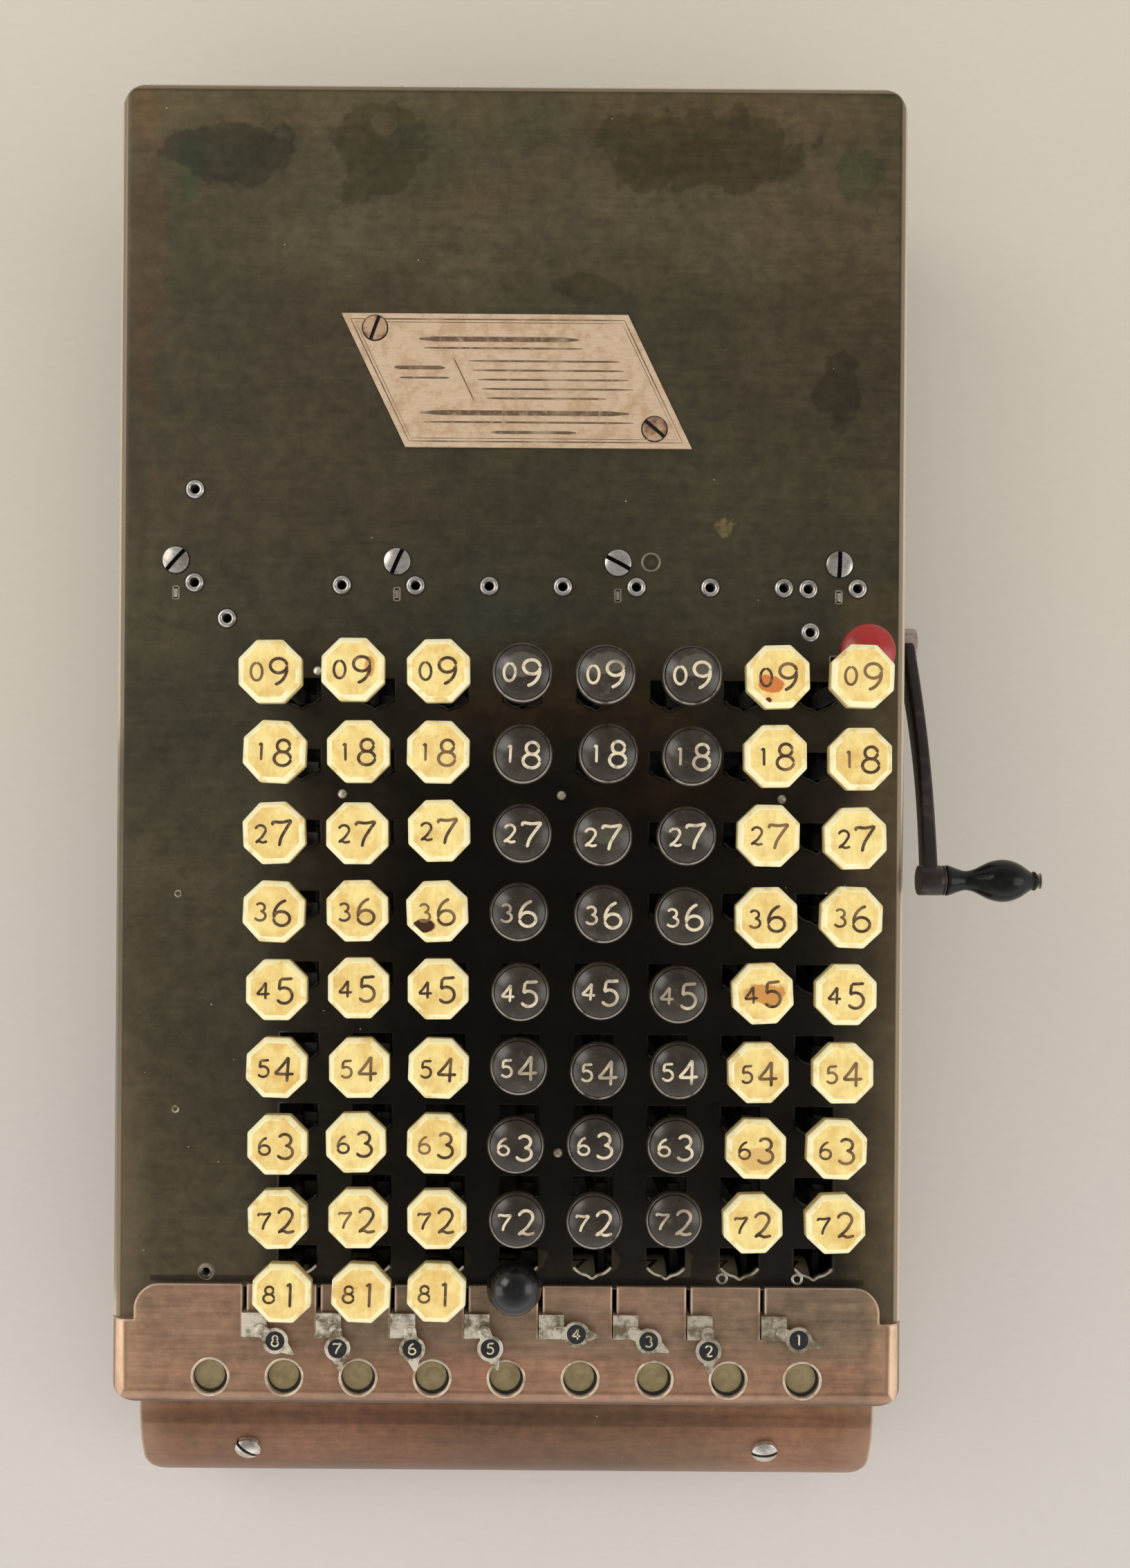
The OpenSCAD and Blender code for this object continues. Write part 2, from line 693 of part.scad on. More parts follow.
module mechanism_frame() {
    guide_front_y = cutoff_y + cutoff_hub_d / 2 + 1.2;
    guide_back_y = row_y(rows) + guide_tail;
    color([0.5, 0.5, 0.48]) {
        for (x = [-frame_x - frame_t, frame_x]) along_x(x, x + frame_t) frame_side();
        slot = [stem_t + 2 * stem_gap, stem_w + 2 * stem_gap];
        along_z(guide_z, guide_z + guide_t) difference() {
            translate([seam - frame_x, guide_front_y])
                square([2 * (frame_x - seam), guide_back_y - guide_front_y]);
            for (n = [1 : rows], k = columns_of(n))
                translate([key_x(k), row_y(n)]) square(slot, center = true);
            translate([release_x() + release_stem_x, release_y]) square(slot, center = true);
        }
    }
}

module frame_shafts() {
    outside = frame_x + frame_t;
    color([0.68, 0.68, 0.66]) for (p = concat(shaft_places(), tie_places())) {
        rod(-outside, outside, p[0], p[1], p[2]);
        rod(-outside - collar_w, -outside, p[0], p[1], p[2] + 2 * collar_w);
        rod(outside, outside + collar_w, p[0], p[1], p[2] + 2 * collar_w);
    }
}

module screws_and_rivets() {
    color([0.75, 0.74, 0.7]) {
        translate([0, 0, plate_z]) place_rivets() ring_rivet();
        translate([0, 0, plate_z]) place_screws() screw(screw_head_d, screw_head_h, plate_t + shank_l);
        translate([0, 0, plate_z + name_t]) place_name_screws()
            screw(screw_head_d * 0.92, screw_head_h * 0.8, name_t + plate_t, screw_d * 0.8);
        place_toe_screws() screw(screw_head_d * 1.06, screw_head_h * 2.4, wall_t + shank_l);
        for (i = [0 : columns]) translate([window_x(i), window_y, cover_z]) {
            difference() {
                cylinder(h = window_rim_h, d = window_d + 2 * window_rim_w);
                translate([0, 0, -over]) cylinder(h = 3 * over, d = window_d);
            }
            translate([0, 0, seam - cover_t]) cylinder(h = pane_t, d = window_d - 2 * seam);
        }
    }
}

// Eight-sided cap with a bevelled top, its underside on the origin
module octagon_cap() {
    half = octagon_w / 2;
    intersection_for(turn = [0, 45, 90, 135]) rotate([0, 0, turn]) along_y(-octagon_w, octagon_w)
        polygon([[-half, 0], [half, 0], [half, cap_h - bevel_h], [half - bevel_w, cap_h],
            [bevel_w - half, cap_h], [-half, cap_h - bevel_h]]);
}

// Round cap of diameter d with a dome of height h, its underside on the origin
module dome_cap(d, h, total) {
    ball_r = (d * d / 4 + h * h) / 2 / h;
    intersection() {
        cylinder(h = total, d = d);
        translate([0, 0, total - ball_r]) sphere(ball_r, $fn = 96);
    }
}

// Cut in a cap's underside for the top of its stem, centred on the stem
module stem_socket() {
    translate([-stem_t / 2 - seam, -stem_w / 2 - seam, -over])
        cube([stem_t + 2 * seam, stem_w + 2 * seam, socket_h + seam + over]);
}

module key_cap(k, n) {
    difference() {
        if (is_round(k) && n == 1)
            color([0.05, 0.05, 0.06]) dome_cap(ball_d, ball_d * ball_dome, cap_h + ball_d * ball_lift);
        else if (is_round(k)) color([0.1, 0.1, 0.11]) dome_cap(round_d, dome_h, cap_h);
        else color([0.93, 0.87, 0.55]) octagon_cap();
        stem_socket();
    }
}

// Flat stem with a side foot above its column lever
module key_stem(k, n) {
    foot_z = lever_top_z + (n == rows ? touch_gap : stroke(n) + free_gap);
    low_z = guide_z - stem_tail;
    color([0.6, 0.6, 0.58]) translate([key_x(k), row_y(n), 0]) {
        translate([-stem_t / 2, -stem_w / 2, low_z])
            cube([stem_t, stem_w, key_top(n) - cap_h + socket_h - low_z]);
        translate([0, -stem_w / 2, foot_z]) cube([lever_offset + lever_t / 2 + free_gap, stem_w, foot_h]);
    }
}

module key(k, n) {
    translate([key_x(k), row_y(n), key_top(n) - cap_h]) key_cap(k, n);
    key_stem(k, n);
}

module key_row(n) {
    for (k = columns_of(n)) key(k, n);
}

// One tooth's four corners: half widths at root, pitch line and tip, at radius r
function tooth(r, middle, out) = [for (c = [[-tooth_half[0], -dedendum], [-tooth_half[1], 0],
    [-tooth_half[2], addendum], [tooth_half[2], addendum], [tooth_half[1], 0], [tooth_half[0], -dedendum]])
    let (a = middle + c[0] / r * 180 / PI) (r + out * c[1]) * [cos(a), sin(a)]];

// Toothed sector's front edge as points about the lever shaft, from its bottom to its top
function sector_edge() = [for (i = [digits - 1 : -1 : 0])
    for (p = tooth(sector_r, 180 - i * digit_angle * 180 / PI, 1)) p];

module lever_profile() {
    front_y = wheel_y + pinion_r + dedendum;
    low_z = wheel_z - 0.8 * tooth_pitch;
    // The sector ends a third of a tooth above its tenth tooth
    top_z = wheel_z + sector_r * sin((digits - 0.65) * digit_angle * 180 / PI);
    bar_z = lever_top_z - lever_bar_h;
    back_y = front_y + sector_w;
    difference() {
        union() {
            translate([lever_y, wheel_z]) polygon(concat(sector_edge(),
                [[front_y + 0.1 - lever_y, low_z - wheel_z], [back_y - lever_y, bar_z - wheel_z],
                [0, bar_z - wheel_z], [0, lever_top_z - wheel_z], [back_y - lever_y, lever_top_z - wheel_z],
                [back_y - lever_y, top_z - wheel_z], [front_y + 0.6 - lever_y, top_z - wheel_z]]));
            translate([lever_y, wheel_z]) circle(d = lever_hub_d);
        }
        translate([lever_y, wheel_z]) circle(d = lever_shaft_d + 2 * run_gap);
    }
}

module column_lever(k) {
    color([0.55, 0.53, 0.5]) translate([lever_x(k), 0, 0]) {
        along_x(-lever_t / 2, lever_t / 2) lever_profile();
        difference() {
            rod(-lever_hub_l / 2, lever_hub_l / 2, lever_y, wheel_z, lever_hub_d);
            rod(-lever_hub_l, lever_hub_l, lever_y, wheel_z, lever_shaft_d + 2 * run_gap);
        }
    }
}

module number_wheel(i) {
    half = wheel_w / 2;
    dish = (wheel_w - wheel_web_t) / 2;
    color([0.66, 0.62, 0.35]) translate([window_x(i), wheel_y, wheel_z]) difference() {
        union() {
            difference() {
                rod(-half, half, 0, 0, wheel_d);
                for (x = [-half - over, half - dish]) difference() {
                    rod(x, x + dish + over, 0, 0, wheel_d - 2 * wheel_rim_t);
                    rod(x - over, x + dish + 2 * over, 0, 0, wheel_hub_d);
                }
            }
            along_x(half, half + pinion_l) difference() {
                polygon([for (t = [0 : digits - 1])
                    for (p = tooth(pinion_r, (t + 0.5) * 360 / digits, 1)) p]);
            }
        }
        rod(-half - over, half + pinion_l + over, 0, 0, wheel_shaft_d + 2 * run_gap);
    }
}

// Side view of a cutoff lever: an arm from the shaft, a neck in the slit and the thumb tab's edge
module cutoff_profile() {
    blade_z = cover_z + tab_gap / 2;
    top_z = cover_z + tab_gap + tab_t;
    neck_y = slit_front_y + neck_gap;
    neck_z = plate_z - neck_drop;
    hub_r = cutoff_hub_d / 2;
    difference() {
        union() {
            translate([cutoff_y, cutoff_z]) circle(hub_r);
            polygon([[cutoff_y - hub_r, cutoff_z], [neck_y, neck_z], [neck_y, blade_z], [tab_y, blade_z],
                [tab_y, top_z], [tab_y + tab_l, top_z], [tab_y + tab_l, blade_z],
                [neck_y + neck_l, blade_z], [neck_y + neck_l, neck_z], [cutoff_y + hub_r, cutoff_z]]);
        }
        translate([cutoff_y, cutoff_z]) circle(d = cutoff_shaft_d + 2 * run_gap);
    }
}

module cutoff_lever(k) {
    tab_z = cover_z + tab_gap;
    color([0.75, 0.73, 0.68]) translate([slit_x(k), 0, 0]) difference() {
        union() {
            along_x(-cutoff_t / 2, cutoff_t / 2) cutoff_profile();
            difference() {
                rod(-cutoff_hub_l / 2, cutoff_hub_l / 2, cutoff_y, cutoff_z, cutoff_hub_d);
                rod(-cutoff_hub_l, cutoff_hub_l, cutoff_y, cutoff_z, cutoff_shaft_d + 2 * run_gap);
            }
            translate([0, tab_y, tab_z]) cube([tab_w, tab_l, tab_t]);
        }
        translate([pointer_x, tab_y + pointer_y, tab_z - over])
            cylinder(h = tab_t + 2 * over, d = rivet_d + 2 * run_gap);
    }
}

// Swinging pointer: a ring with a sunk dial, a pointed tail and a rivet through the tab
module pointer(k) {
    tab_z = cover_z + tab_gap;
    lift = 0.1;
    low_z = tab_z + tab_t + lift;
    shank_z = -tab_t - 1.5 * lift;
    head_d = rivet_d * 1.4;
    cheek = ring_d * 0.42;
    tip = 0.25;
    color([0.78, 0.76, 0.7])
    translate([slit_x(k) + pointer_x, tab_y + pointer_y, low_z]) rotate([0, 0, pointer_turn[k - 1]]) {
        difference() {
            along_z(0, pointer_t) {
                translate([pointer_arm, 0]) circle(d = ring_d);
                circle(d = 2 * rivet_d);
                translate([0, -rivet_d]) square([pointer_arm, 2 * rivet_d]);
                translate([pointer_arm, 0])
                    polygon([[0, cheek], [tail_l, tip], [tail_l, -tip], [0, -cheek]]);
            }
            translate([pointer_arm, 0, pointer_t - dial_depth]) cylinder(h = over, d = dial_d);
        }
        translate([0, 0, pointer_t]) cylinder(h = peen_t, d = head_d);
        translate([0, 0, shank_z]) cylinder(h = -shank_z, d = rivet_d);
        translate([0, 0, shank_z - peen_t]) cylinder(h = peen_t, d = head_d);
    }
}

// Centre of the arm's outer end
function crank_end() = [crank_y - crank_r * cos(crank_lift), crank_z + crank_r * sin(crank_lift)];

module crank_arm() {
    shaft_end_x = crank_x + crank_t + 1;
    hub_x = case_w / 2 + hub_gap;
    inner_x = frame_x - stop_inset;
    color([0.2, 0.18, 0.17]) {
        difference() {
            union() {
                along_x(crank_x, crank_x + crank_t)
                    taper_bar([crank_y, crank_z], crank_hub_d, crank_end(), crank_end_d);
                rod(hub_x, shaft_end_x, crank_y, crank_z, crank_hub_d);
                rod(crank_x - 1, handle_x - run_gap, crank_end()[0], crank_end()[1], crank_end_d);
            }
            rod(0, shaft_end_x + over, crank_y, crank_z, crank_shaft_d + 2 * seam);
            rod(0, handle_x + over, crank_end()[0], crank_end()[1], spindle_d + 2 * seam);
        }
        rod(inner_x, shaft_end_x, crank_y, crank_z, crank_shaft_d);
        rod(inner_x, inner_x + stop_t, crank_y, crank_z, stop_d);
        rod(crank_x, end_x - spindle_head_t, crank_end()[0], crank_end()[1], spindle_d);
        rod(end_x - spindle_head_t, end_x, crank_end()[0], crank_end()[1], spindle_d * 1.7);
    }
}

// Turned handle: share of the length and share of the belly radius at each turning point
module crank_handle() {
    turning = [[0, 0.64], [0.08, 0.6], [0.15, 0.53], [0.27, 0.49], [0.36, 0.58], [0.44, 0.76],
        [0.54, 0.94], [0.66, 1], [0.77, 0.9], [0.87, 0.68], [0.95, 0.48], [1, 0.42]];
    color([0.06, 0.06, 0.07]) translate([handle_x, crank_end()[0], crank_end()[1]]) rotate([0, 90, 0])
        difference() {
            rotate_extrude() polygon(concat([[0, 0]],
                [for (p = turning) [p[1] * handle_d / 2, p[0] * handle_l]], [[0, handle_l]]));
            translate([0, 0, -over]) cylinder(h = handle_l + 2 * over, d = spindle_d + 2 * run_gap);
        }
}

module release_key() {
    stem_low_z = guide_z - stem_tail;
    top_z = plate_z + release_top;
    color([0.75, 0.1, 0.1]) translate([release_x(), release_y, top_z - cap_h]) difference() {
        dome_cap(release_d, dome_h, cap_h);
        translate([release_stem_x, 0, 0]) stem_socket();
    }
    color([0.6, 0.6, 0.58]) translate([release_x() + release_stem_x, release_y, stem_low_z])
        translate([-stem_t / 2, -stem_w / 2, 0])
            cube([stem_t, stem_w, top_z - cap_h + socket_h - stem_low_z]);
}

translate([-middle_x, -middle_y, 0]) {
    base_pan();
    case_shell();
    number_cover();
    front_toe();
    name_plate();
    mechanism_frame();
    frame_shafts();
    screws_and_rivets();
    for (n = [1 : rows - 1]) key_row(n);
    for (k = [1 : columns]) key(k, rows);
    for (k = [1 : columns]) column_lever(k);
    for (i = [0 : columns]) number_wheel(i);
    for (k = [1 : columns]) cutoff_lever(k);
    for (k = [1 : columns]) pointer(k);
    crank_arm();
    crank_handle();
    release_key();
}
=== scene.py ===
"""Looks of a key-driven adding machine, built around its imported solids.

Shapes are worked out in the machine's own frame, in millimetres: X to the operator's right from
the case's centreline, Y to the back from the number cover's front edge, Z up from the table.
Shape.build moves them into the row frame, in metres.
"""

from __future__ import annotations

import logging
from collections.abc import Callable, Sequence
from dataclasses import dataclass
from enum import Enum

import bmesh
import bpy
import numpy as np
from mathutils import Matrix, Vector


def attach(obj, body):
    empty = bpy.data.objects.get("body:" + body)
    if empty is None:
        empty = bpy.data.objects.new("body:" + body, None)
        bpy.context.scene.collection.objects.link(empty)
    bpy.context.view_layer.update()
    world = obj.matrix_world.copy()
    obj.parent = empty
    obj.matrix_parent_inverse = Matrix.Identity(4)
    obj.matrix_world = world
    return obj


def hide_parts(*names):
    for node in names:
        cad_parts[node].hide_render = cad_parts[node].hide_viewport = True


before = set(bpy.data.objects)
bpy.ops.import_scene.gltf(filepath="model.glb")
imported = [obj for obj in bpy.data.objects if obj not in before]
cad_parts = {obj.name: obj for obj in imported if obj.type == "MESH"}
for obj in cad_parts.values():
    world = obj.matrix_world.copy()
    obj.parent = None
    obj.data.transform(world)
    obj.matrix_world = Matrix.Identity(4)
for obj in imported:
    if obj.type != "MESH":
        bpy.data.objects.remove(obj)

LOG = logging.getLogger("adding_machine")
MM = 0.001
ORIGIN = np.array([17.6, 151.55, 0.0])
CREASE = np.radians(34.0)
HOUSING = "housing"
Socket = bpy.types.NodeSocket
Colour = tuple[float, float, float]
Place = tuple[float, float, float]
Patch = tuple[float, float, float, float, float]
Band = tuple[float, float, float, float, float, float, Colour]
Stain = tuple[float, float, float, float, Colour, float]
RingSize = tuple[float, float, float, float]
ScrewSize = tuple[float, float, float]


class CapKind(Enum):
    """The three kinds of key cap."""

    IVORY = "ivory"
    BLACK = "black"
    BALL = "ball"


class Axis(Enum):
    """The axis that a turned piece is round."""

    X = "x"
    Z = "z"


@dataclass(frozen=True)
class Layout:
    """Places of the machine's parts, in millimetres."""

    half_w: float = 102.25
    plate_z: float = 86.0
    cover_z: float = 88.0
    pitch: float = 19.05
    window_left: float = 76.2
    window_y: float = 6.5
    row_pitch: float = 18.34
    row_1_y: float = 35.0
    key_offset: float = 2.95
    row_1_top: float = 26.2
    row_rise: float = 3.74
    columns: int = 8
    rows: int = 9
    wheel_y: float = 15.2
    wheel_z: float = 63.6
    wheel_r: float = 17.5
    lever_y: float = 290.0

    def window_x(self, i: int) -> float:
        """Middle of number window i."""
        return i * self.pitch - self.window_left

    def key_x(self, k: int) -> float:
        """Middle of key column k."""
        return self.window_x(k) + self.key_offset

    def row_y(self, n: int) -> float:
        """Middle of key row n."""
        return self.row_1_y + (n - 1) * self.row_pitch

    def key_top(self, n: int) -> float:
        """Height of the key tops in row n."""
        return self.plate_z + self.row_1_top + (n - 1) * self.row_rise

    def columns_of(self, n: int) -> list[int]:
        """Columns that have a key in row n: the row of ones lacks its last four."""
        return [k for k in range(1, self.columns + 1) if n > 1 or k <= 4]

    def cap_kind(self, k: int, n: int) -> CapKind:
        """Kind of the cap in column k and row n."""
        if k not in (4, 5, 6):
            return CapKind.IVORY
        return CapKind.BALL if n == 1 else CapKind.BLACK


PLACE = Layout()


def arc(middle: tuple[float, float], rx: float, ry: float, start: float, end: float,
        count: int = 20) -> np.ndarray:
    """Points on an ellipse's arc: middle + (rx cos a, ry sin a) for a from start to end.

    Args:
        middle: The ellipse's middle.
        rx: Half its width.
        ry: Half its height.
        start: First angle, in degrees.
        end: Last angle, in degrees.
        count: Number of points.

    Returns:
        The points, one row each.
    """
    a = np.radians(np.linspace(start, end, count))
    return np.stack([middle[0] + rx * np.cos(a), middle[1] + ry * np.sin(a)], 1)


def curve(points: Sequence[Sequence[float]], count: int) -> np.ndarray:
    """Points evenly spaced along the smooth curve that passes through the given ones.

    Each stretch is the Catmull-Rom cubic of its four neighbours, with the ends repeated.

    Args:
        points: The points that the curve passes through.
        count: Number of points on it.

    Returns:
        The curve's points, one row each.
    """
    p = np.asarray(points, float)
    p = np.vstack([2 * p[0] - p[1], p, 2 * p[-1] - p[-2]])
    t = np.linspace(0, len(p) - 3, count)
    i = np.minimum(t.astype(int), len(p) - 4)
    f = (t - i)[:, None]
    a, b, c, d = p[i], p[i + 1], p[i + 2], p[i + 3]
    return 0.5 * (2 * b + (c - a) * f + (2 * a - 5 * b + 4 * c - d) * f**2 + (3 * b - a - 3 * c + d) * f**3)


def rounded_outline(sides: int, apothem: float, corner_r: float, per_corner: int = 5) -> np.ndarray:
    """Outline of a regular polygon with rounded corners.

    Corner k's arc has its middle at (apothem - r) / cos(half a side's angle) from the centre, and it
    turns from the direction of side k to that of side k + 1.

    Args:
        sides: Number of sides.
        apothem: Distance from the centre to a side.
        corner_r: Radius r of the corners.
        per_corner: Points on each corner.

    Returns:
        The outline's points, one row each.
    """
    step = 2 * np.pi / sides
    corner = np.repeat(np.arange(sides), per_corner)
    turn = (corner + np.tile(np.linspace(0, 1, per_corner), sides)) * step
    reach = (apothem - corner_r) / np.cos(step / 2)
    middle = (corner + 0.5) * step
    return np.stack([reach * np.cos(middle) + corner_r * np.cos(turn),
                     reach * np.sin(middle) + corner_r * np.sin(turn)], 1)


def box_outline(w: float, d: float, r: float, per_corner: int = 4) -> np.ndarray:
    """Outline of a w by d rectangle about the origin, its corners rounded by arcs of radius r."""
    corner = np.repeat(np.arange(4), per_corner)
    turn = (corner + np.tile(np.linspace(0, 1, per_corner), 4)) * np.pi / 2
    sign_x = np.array([1, -1, -1, 1])[corner]
    sign_y = np.array([1, 1, -1, -1])[corner]
    return np.stack([sign_x * (w / 2 - r) + r * np.cos(turn), sign_y * (d / 2 - r) + r * np.sin(turn)], 1)


def turned_by(points: np.ndarray, degrees: float) -> np.ndarray:
    """Points in a plane turned about the origin."""
    a = np.radians(degrees)
    return points @ np.array([[np.cos(a), np.sin(a)], [-np.sin(a), np.cos(a)]])


def added(name: str, data: bpy.types.ID) -> bpy.types.Object:
    """A new object with the data, linked into the scene."""
    made = bpy.data.objects.new(name, data)
    bpy.context.scene.collection.objects.link(made)
    return made


class Shape:
    """Closed surfaces that are gathered into one mesh."""

    def __init__(self) -> None:
        """Starts with no surface."""
        self.points: list[np.ndarray] = []
        self.faces: list[list[int]] = []
        self.tones: list[np.ndarray] = []
        self.marking: list[np.ndarray] = []
        self.count = 0

    def surface(self, grid: np.ndarray, ring: bool = False, tone: float = 0.0,
                marking: Sequence[float] | np.ndarray | None = None) -> None:
        """Adds a closed surface from a grid of sections.

        Each section is a closed loop of points, and quads join it to the next. The first and last
        section are joined too on a ring, and otherwise a fan about its mean point closes each. The
        sum of a . (b x c) over the triangles gives the sign of the volume, and a negative one turns
        every face round.

        Args:
            grid: Points of shape (sections, points in a section, 3).
            ring: Whether the sections close on themselves.
            tone: Value stored with the points for the finish to read.
            marking: A marking of each section or each point for the finish to read: wear, a painted
                highlight, and dirt with painted shade in slots.
        """
        nu, nv = grid.shape[:2]
        pts = grid.reshape(-1, 3)
        index = np.arange(nu * nv).reshape(nu, nv)
        rows = np.vstack([index, index[:1]]) if ring else index
        p, q = rows[:-1], rows[1:]
        quads = np.stack([p, np.roll(p, -1, 1), np.roll(q, -1, 1), q], -1).reshape(-1, 4)
        tris = np.zeros((0, 3), int)
        # The marking of each point, which the finish reads as wear, painted highlight, and dirt with painted
        # shade.
        wear = np.zeros(nu) if marking is None else np.asarray(marking, float)
        wear = wear.ravel() if wear.ndim == 2 else np.repeat(wear, nv)
        if not ring:
            wear = np.append(wear, [wear[0], wear[-1]])
            pts = np.vstack([pts, grid[0].mean(0), grid[-1].mean(0)])
            first, last = index[0], index[-1]
            tris = np.vstack([np.stack([np.full(nv, nu * nv), np.roll(first, -1), first], -1),
                              np.stack([np.full(nv, nu * nv + 1), last, np.roll(last, -1)], -1)])
        corners = np.vstack([quads[:, :3], quads[:, [0, 2, 3]], tris])
        near = pts - pts.mean(0)
        a, b, c = (near[corners[:, i]] for i in range(3))
        if np.einsum("ij,ij->", a, np.cross(b, c)) < 0:
            quads, tris = quads[:, ::-1], tris[:, ::-1]
        self.points.append(pts)
        self.tones.append(np.full(len(pts), tone))
        self.marking.append(wear)
        self.faces += (quads + self.count).tolist() + (tris + self.count).tolist()
        self.count += len(pts)

    def turned(self, profile: Sequence[Sequence[float]], at: Sequence[float], axis: Axis = Axis.Z,
               segments: int = 48, ring: bool = False, tone: float = 0.0,
               marking: np.ndarray | None = None) -> None:
        """Adds a turned surface: radius and height of each profile point, carried round an axis.

        The marking is strongest on the side towards the operator, where the black caps' bevel takes its
        painted highlight: its factor is 0.4 - sin a, from 0 to 1.

        Args:
            profile: Radius and height of each point, from end to end or round a closed loop.
            at: The point that the heights are counted from.
            axis: The axis that the piece is round.
            segments: Steps round the axis.
            ring: Whether the profile is a closed loop away from the axis.
            tone: Value stored with the points.
            marking: How strongly each profile point is marked.
        """
        p = np.asarray(profile, float)
        a = np.arange(segments) * 2 * np.pi / segments
        r, h = p[:, :1], p[:, 1:2] + 0 * a
        across, up = r * np.cos(a), r * np.sin(a)
        grid = np.stack([across, up, h] if axis is Axis.Z else [h, across, up], -1) + np.asarray(at, float)
        wear = None if marking is None else np.outer(marking, np.clip(0.4 - np.sin(a), 0, 1))
        self.surface(np.swapaxes(grid, 0, 1) if ring else grid, ring, tone, wear)

    def lofted(self, outline: np.ndarray, levels: Sequence[Sequence[float]], at: Sequence[float],
               tone: float = 0.0) -> None:
        """Adds an outline carried up through levels, each of them a scale, a height and a marking.

        Args:
            outline: The outline's points in X and Y.
            levels: Scale of the outline, height and marking of each section.
            at: The point that the heights are counted from.
            tone: Value stored with the points.
        """
        lv = np.array([(*level, 0.0)[:3] for level in levels], float)
        xy = lv[:, 0, None, None] * outline[None]
        z = np.repeat(lv[:, 1:2, None], len(outline), 1)
        self.surface(np.concatenate([xy, z], -1) + np.asarray(at, float), tone=tone, marking=lv[:, 2])

    def ribbon(self, path: np.ndarray, width: float,
               put: Callable[[np.ndarray, np.ndarray, np.ndarray], np.ndarray],
               high: float = 0.03, low: float = -0.12) -> None:
        """Adds a flat ribbon with round ends along a path on a surface.

        At a distance s from an end, the half width is w sqrt(1 - (1 - s / w)^2) up to s = w.

        Args:
            path: The path's points in the surface's own two directions.
            width: The ribbon's width.
            put: Turns surface coordinates and a height above the surface into points.
            high: Height of the ribbon's top above the surface.
            low: Height of its underside.
        """
        step = np.linalg.norm(np.diff(path, axis=0), axis=1)
        s = np.concatenate([[0], np.cumsum(step)])
        way = np.gradient(path, axis=0)
        way /= np.maximum(np.linalg.norm(way, axis=1, keepdims=True), 1e-9)
        side = np.stack([-way[:, 1], way[:, 0]], 1)
        w = width / 2
        end = np.clip(np.minimum(s, s[-1] - s) / w, 0.05, 1)
        half = (w * np.sqrt(1 - (1 - end) ** 2))[:, None]
        left, right = path + side * half, path - side * half
        uv = np.stack([left, left, right, right], 1)
        h = np.broadcast_to(np.array([low, high, high, low]), uv.shape[:2])
        self.surface(put(uv[..., 0], uv[..., 1], h))

    def build(self, name: str, body: str, finish: Finish, slot: str,
              stands_for: Sequence[str] = ()) -> None:
        """Makes the mesh, dresses it and joins it to its body.

        Args:
            name: The piece's name.
            body: The body that it rides on.
            finish: Its finish.
            slot: Not used.
            stands_for: The solid nodes that it replaces.
        """
        mesh = bpy.data.meshes.new(name)
        mesh.from_pydata(((np.vstack(self.points) - ORIGIN) * MM).tolist(), [], self.faces)
        mesh.attributes.new("tone", "FLOAT", "POINT").data.foreach_set("value", np.concatenate(self.tones))
        mesh.attributes.new("marking", "FLOAT", "POINT").data.foreach_set("value", np.concatenate(self.marking))
        mesh.polygons.foreach_set("use_smooth", np.ones(len(self.faces), bool))
        mesh.set_sharp_from_angle(angle=CREASE)
        mesh.materials.append(finish.material())
        piece = added(name, mesh)
        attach(piece, body)
        if stands_for:
            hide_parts(*stands_for)
        LOG.info("%s: %d faces on %s", name, len(self.faces), body)


def dress(node: str, finish: Finish) -> None:
    """Gives a solid node its finish."""
    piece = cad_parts[node]
    piece.data.materials.clear()
    piece.data.materials.append(finish.material())
    piece.data.polygons.foreach_set("material_index", np.zeros(len(piece.data.polygons), np.int32))


def softened(node: str, body: str, finish: Finish, width: float) -> None:
    """Shows a merged copy of a solid node, with narrow bevels on its sharp edges, in the node's place.

    Args:
        node: The solid node.
        body: The body that it rides on.
        finish: Its finish.
        width: Width of the bevels, in millimetres.
    """
    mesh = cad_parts[node].data.copy()
    work = bmesh.new()
    work.from_mesh(mesh)
    bmesh.ops.remove_doubles(work, verts=work.verts, dist=1e-6)
    bmesh.ops.dissolve_limit(work, angle_limit=np.radians(0.5), verts=work.verts, edges=work.edges)
    work.to_mesh(mesh)
    work.free()
    mesh.name = f"{node}_soft"
    mesh.materials.clear()
    mesh.materials.append(finish.material())
    mesh.polygons.foreach_set("material_index", np.zeros(len(mesh.polygons), np.int32))
    mesh.polygons.foreach_set("use_smooth", np.ones(len(mesh.polygons), bool))
    if "custom_normal" in mesh.attributes:
        mesh.attributes.remove(mesh.attributes["custom_normal"])
    mesh.set_sharp_from_angle(angle=CREASE)
    piece = added(f"{node}_soft", mesh)
    bevel = piece.modifiers.new("edges", "BEVEL")
    bevel.width = width * MM
    bevel.segments = 2
    bevel.limit_method = "ANGLE"
    bevel.angle_limit = np.radians(40)
    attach(piece, body)
    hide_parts(node)
    LOG.info("%s: softened by %.2f mm", node, width)


def add_ring(shape: Shape, at: Place, size: RingSize) -> None:
    """Adds a pierced ring with a rolled top: its section is carried round the hole.

    Args:
        shape: The shape that it joins.
        at: Its middle, at the face of the sheet that it sits on.
        size: Radius of its hole, its outer radius, its height and its depth below the face.
    """
    inner, outer, high, deep = size
    roll = arc(((inner + outer) / 2, 0.0), (outer - inner) / 2, high, 0, 180, 11)
    shank = inner + 0.6 * (outer - inner)
    loop = [(inner, -deep), *roll.tolist()[::-1], (outer, -0.02), (shank, -0.04), (shank, -deep)]
    shape.turned(loop, at, segments=36, ring=True)


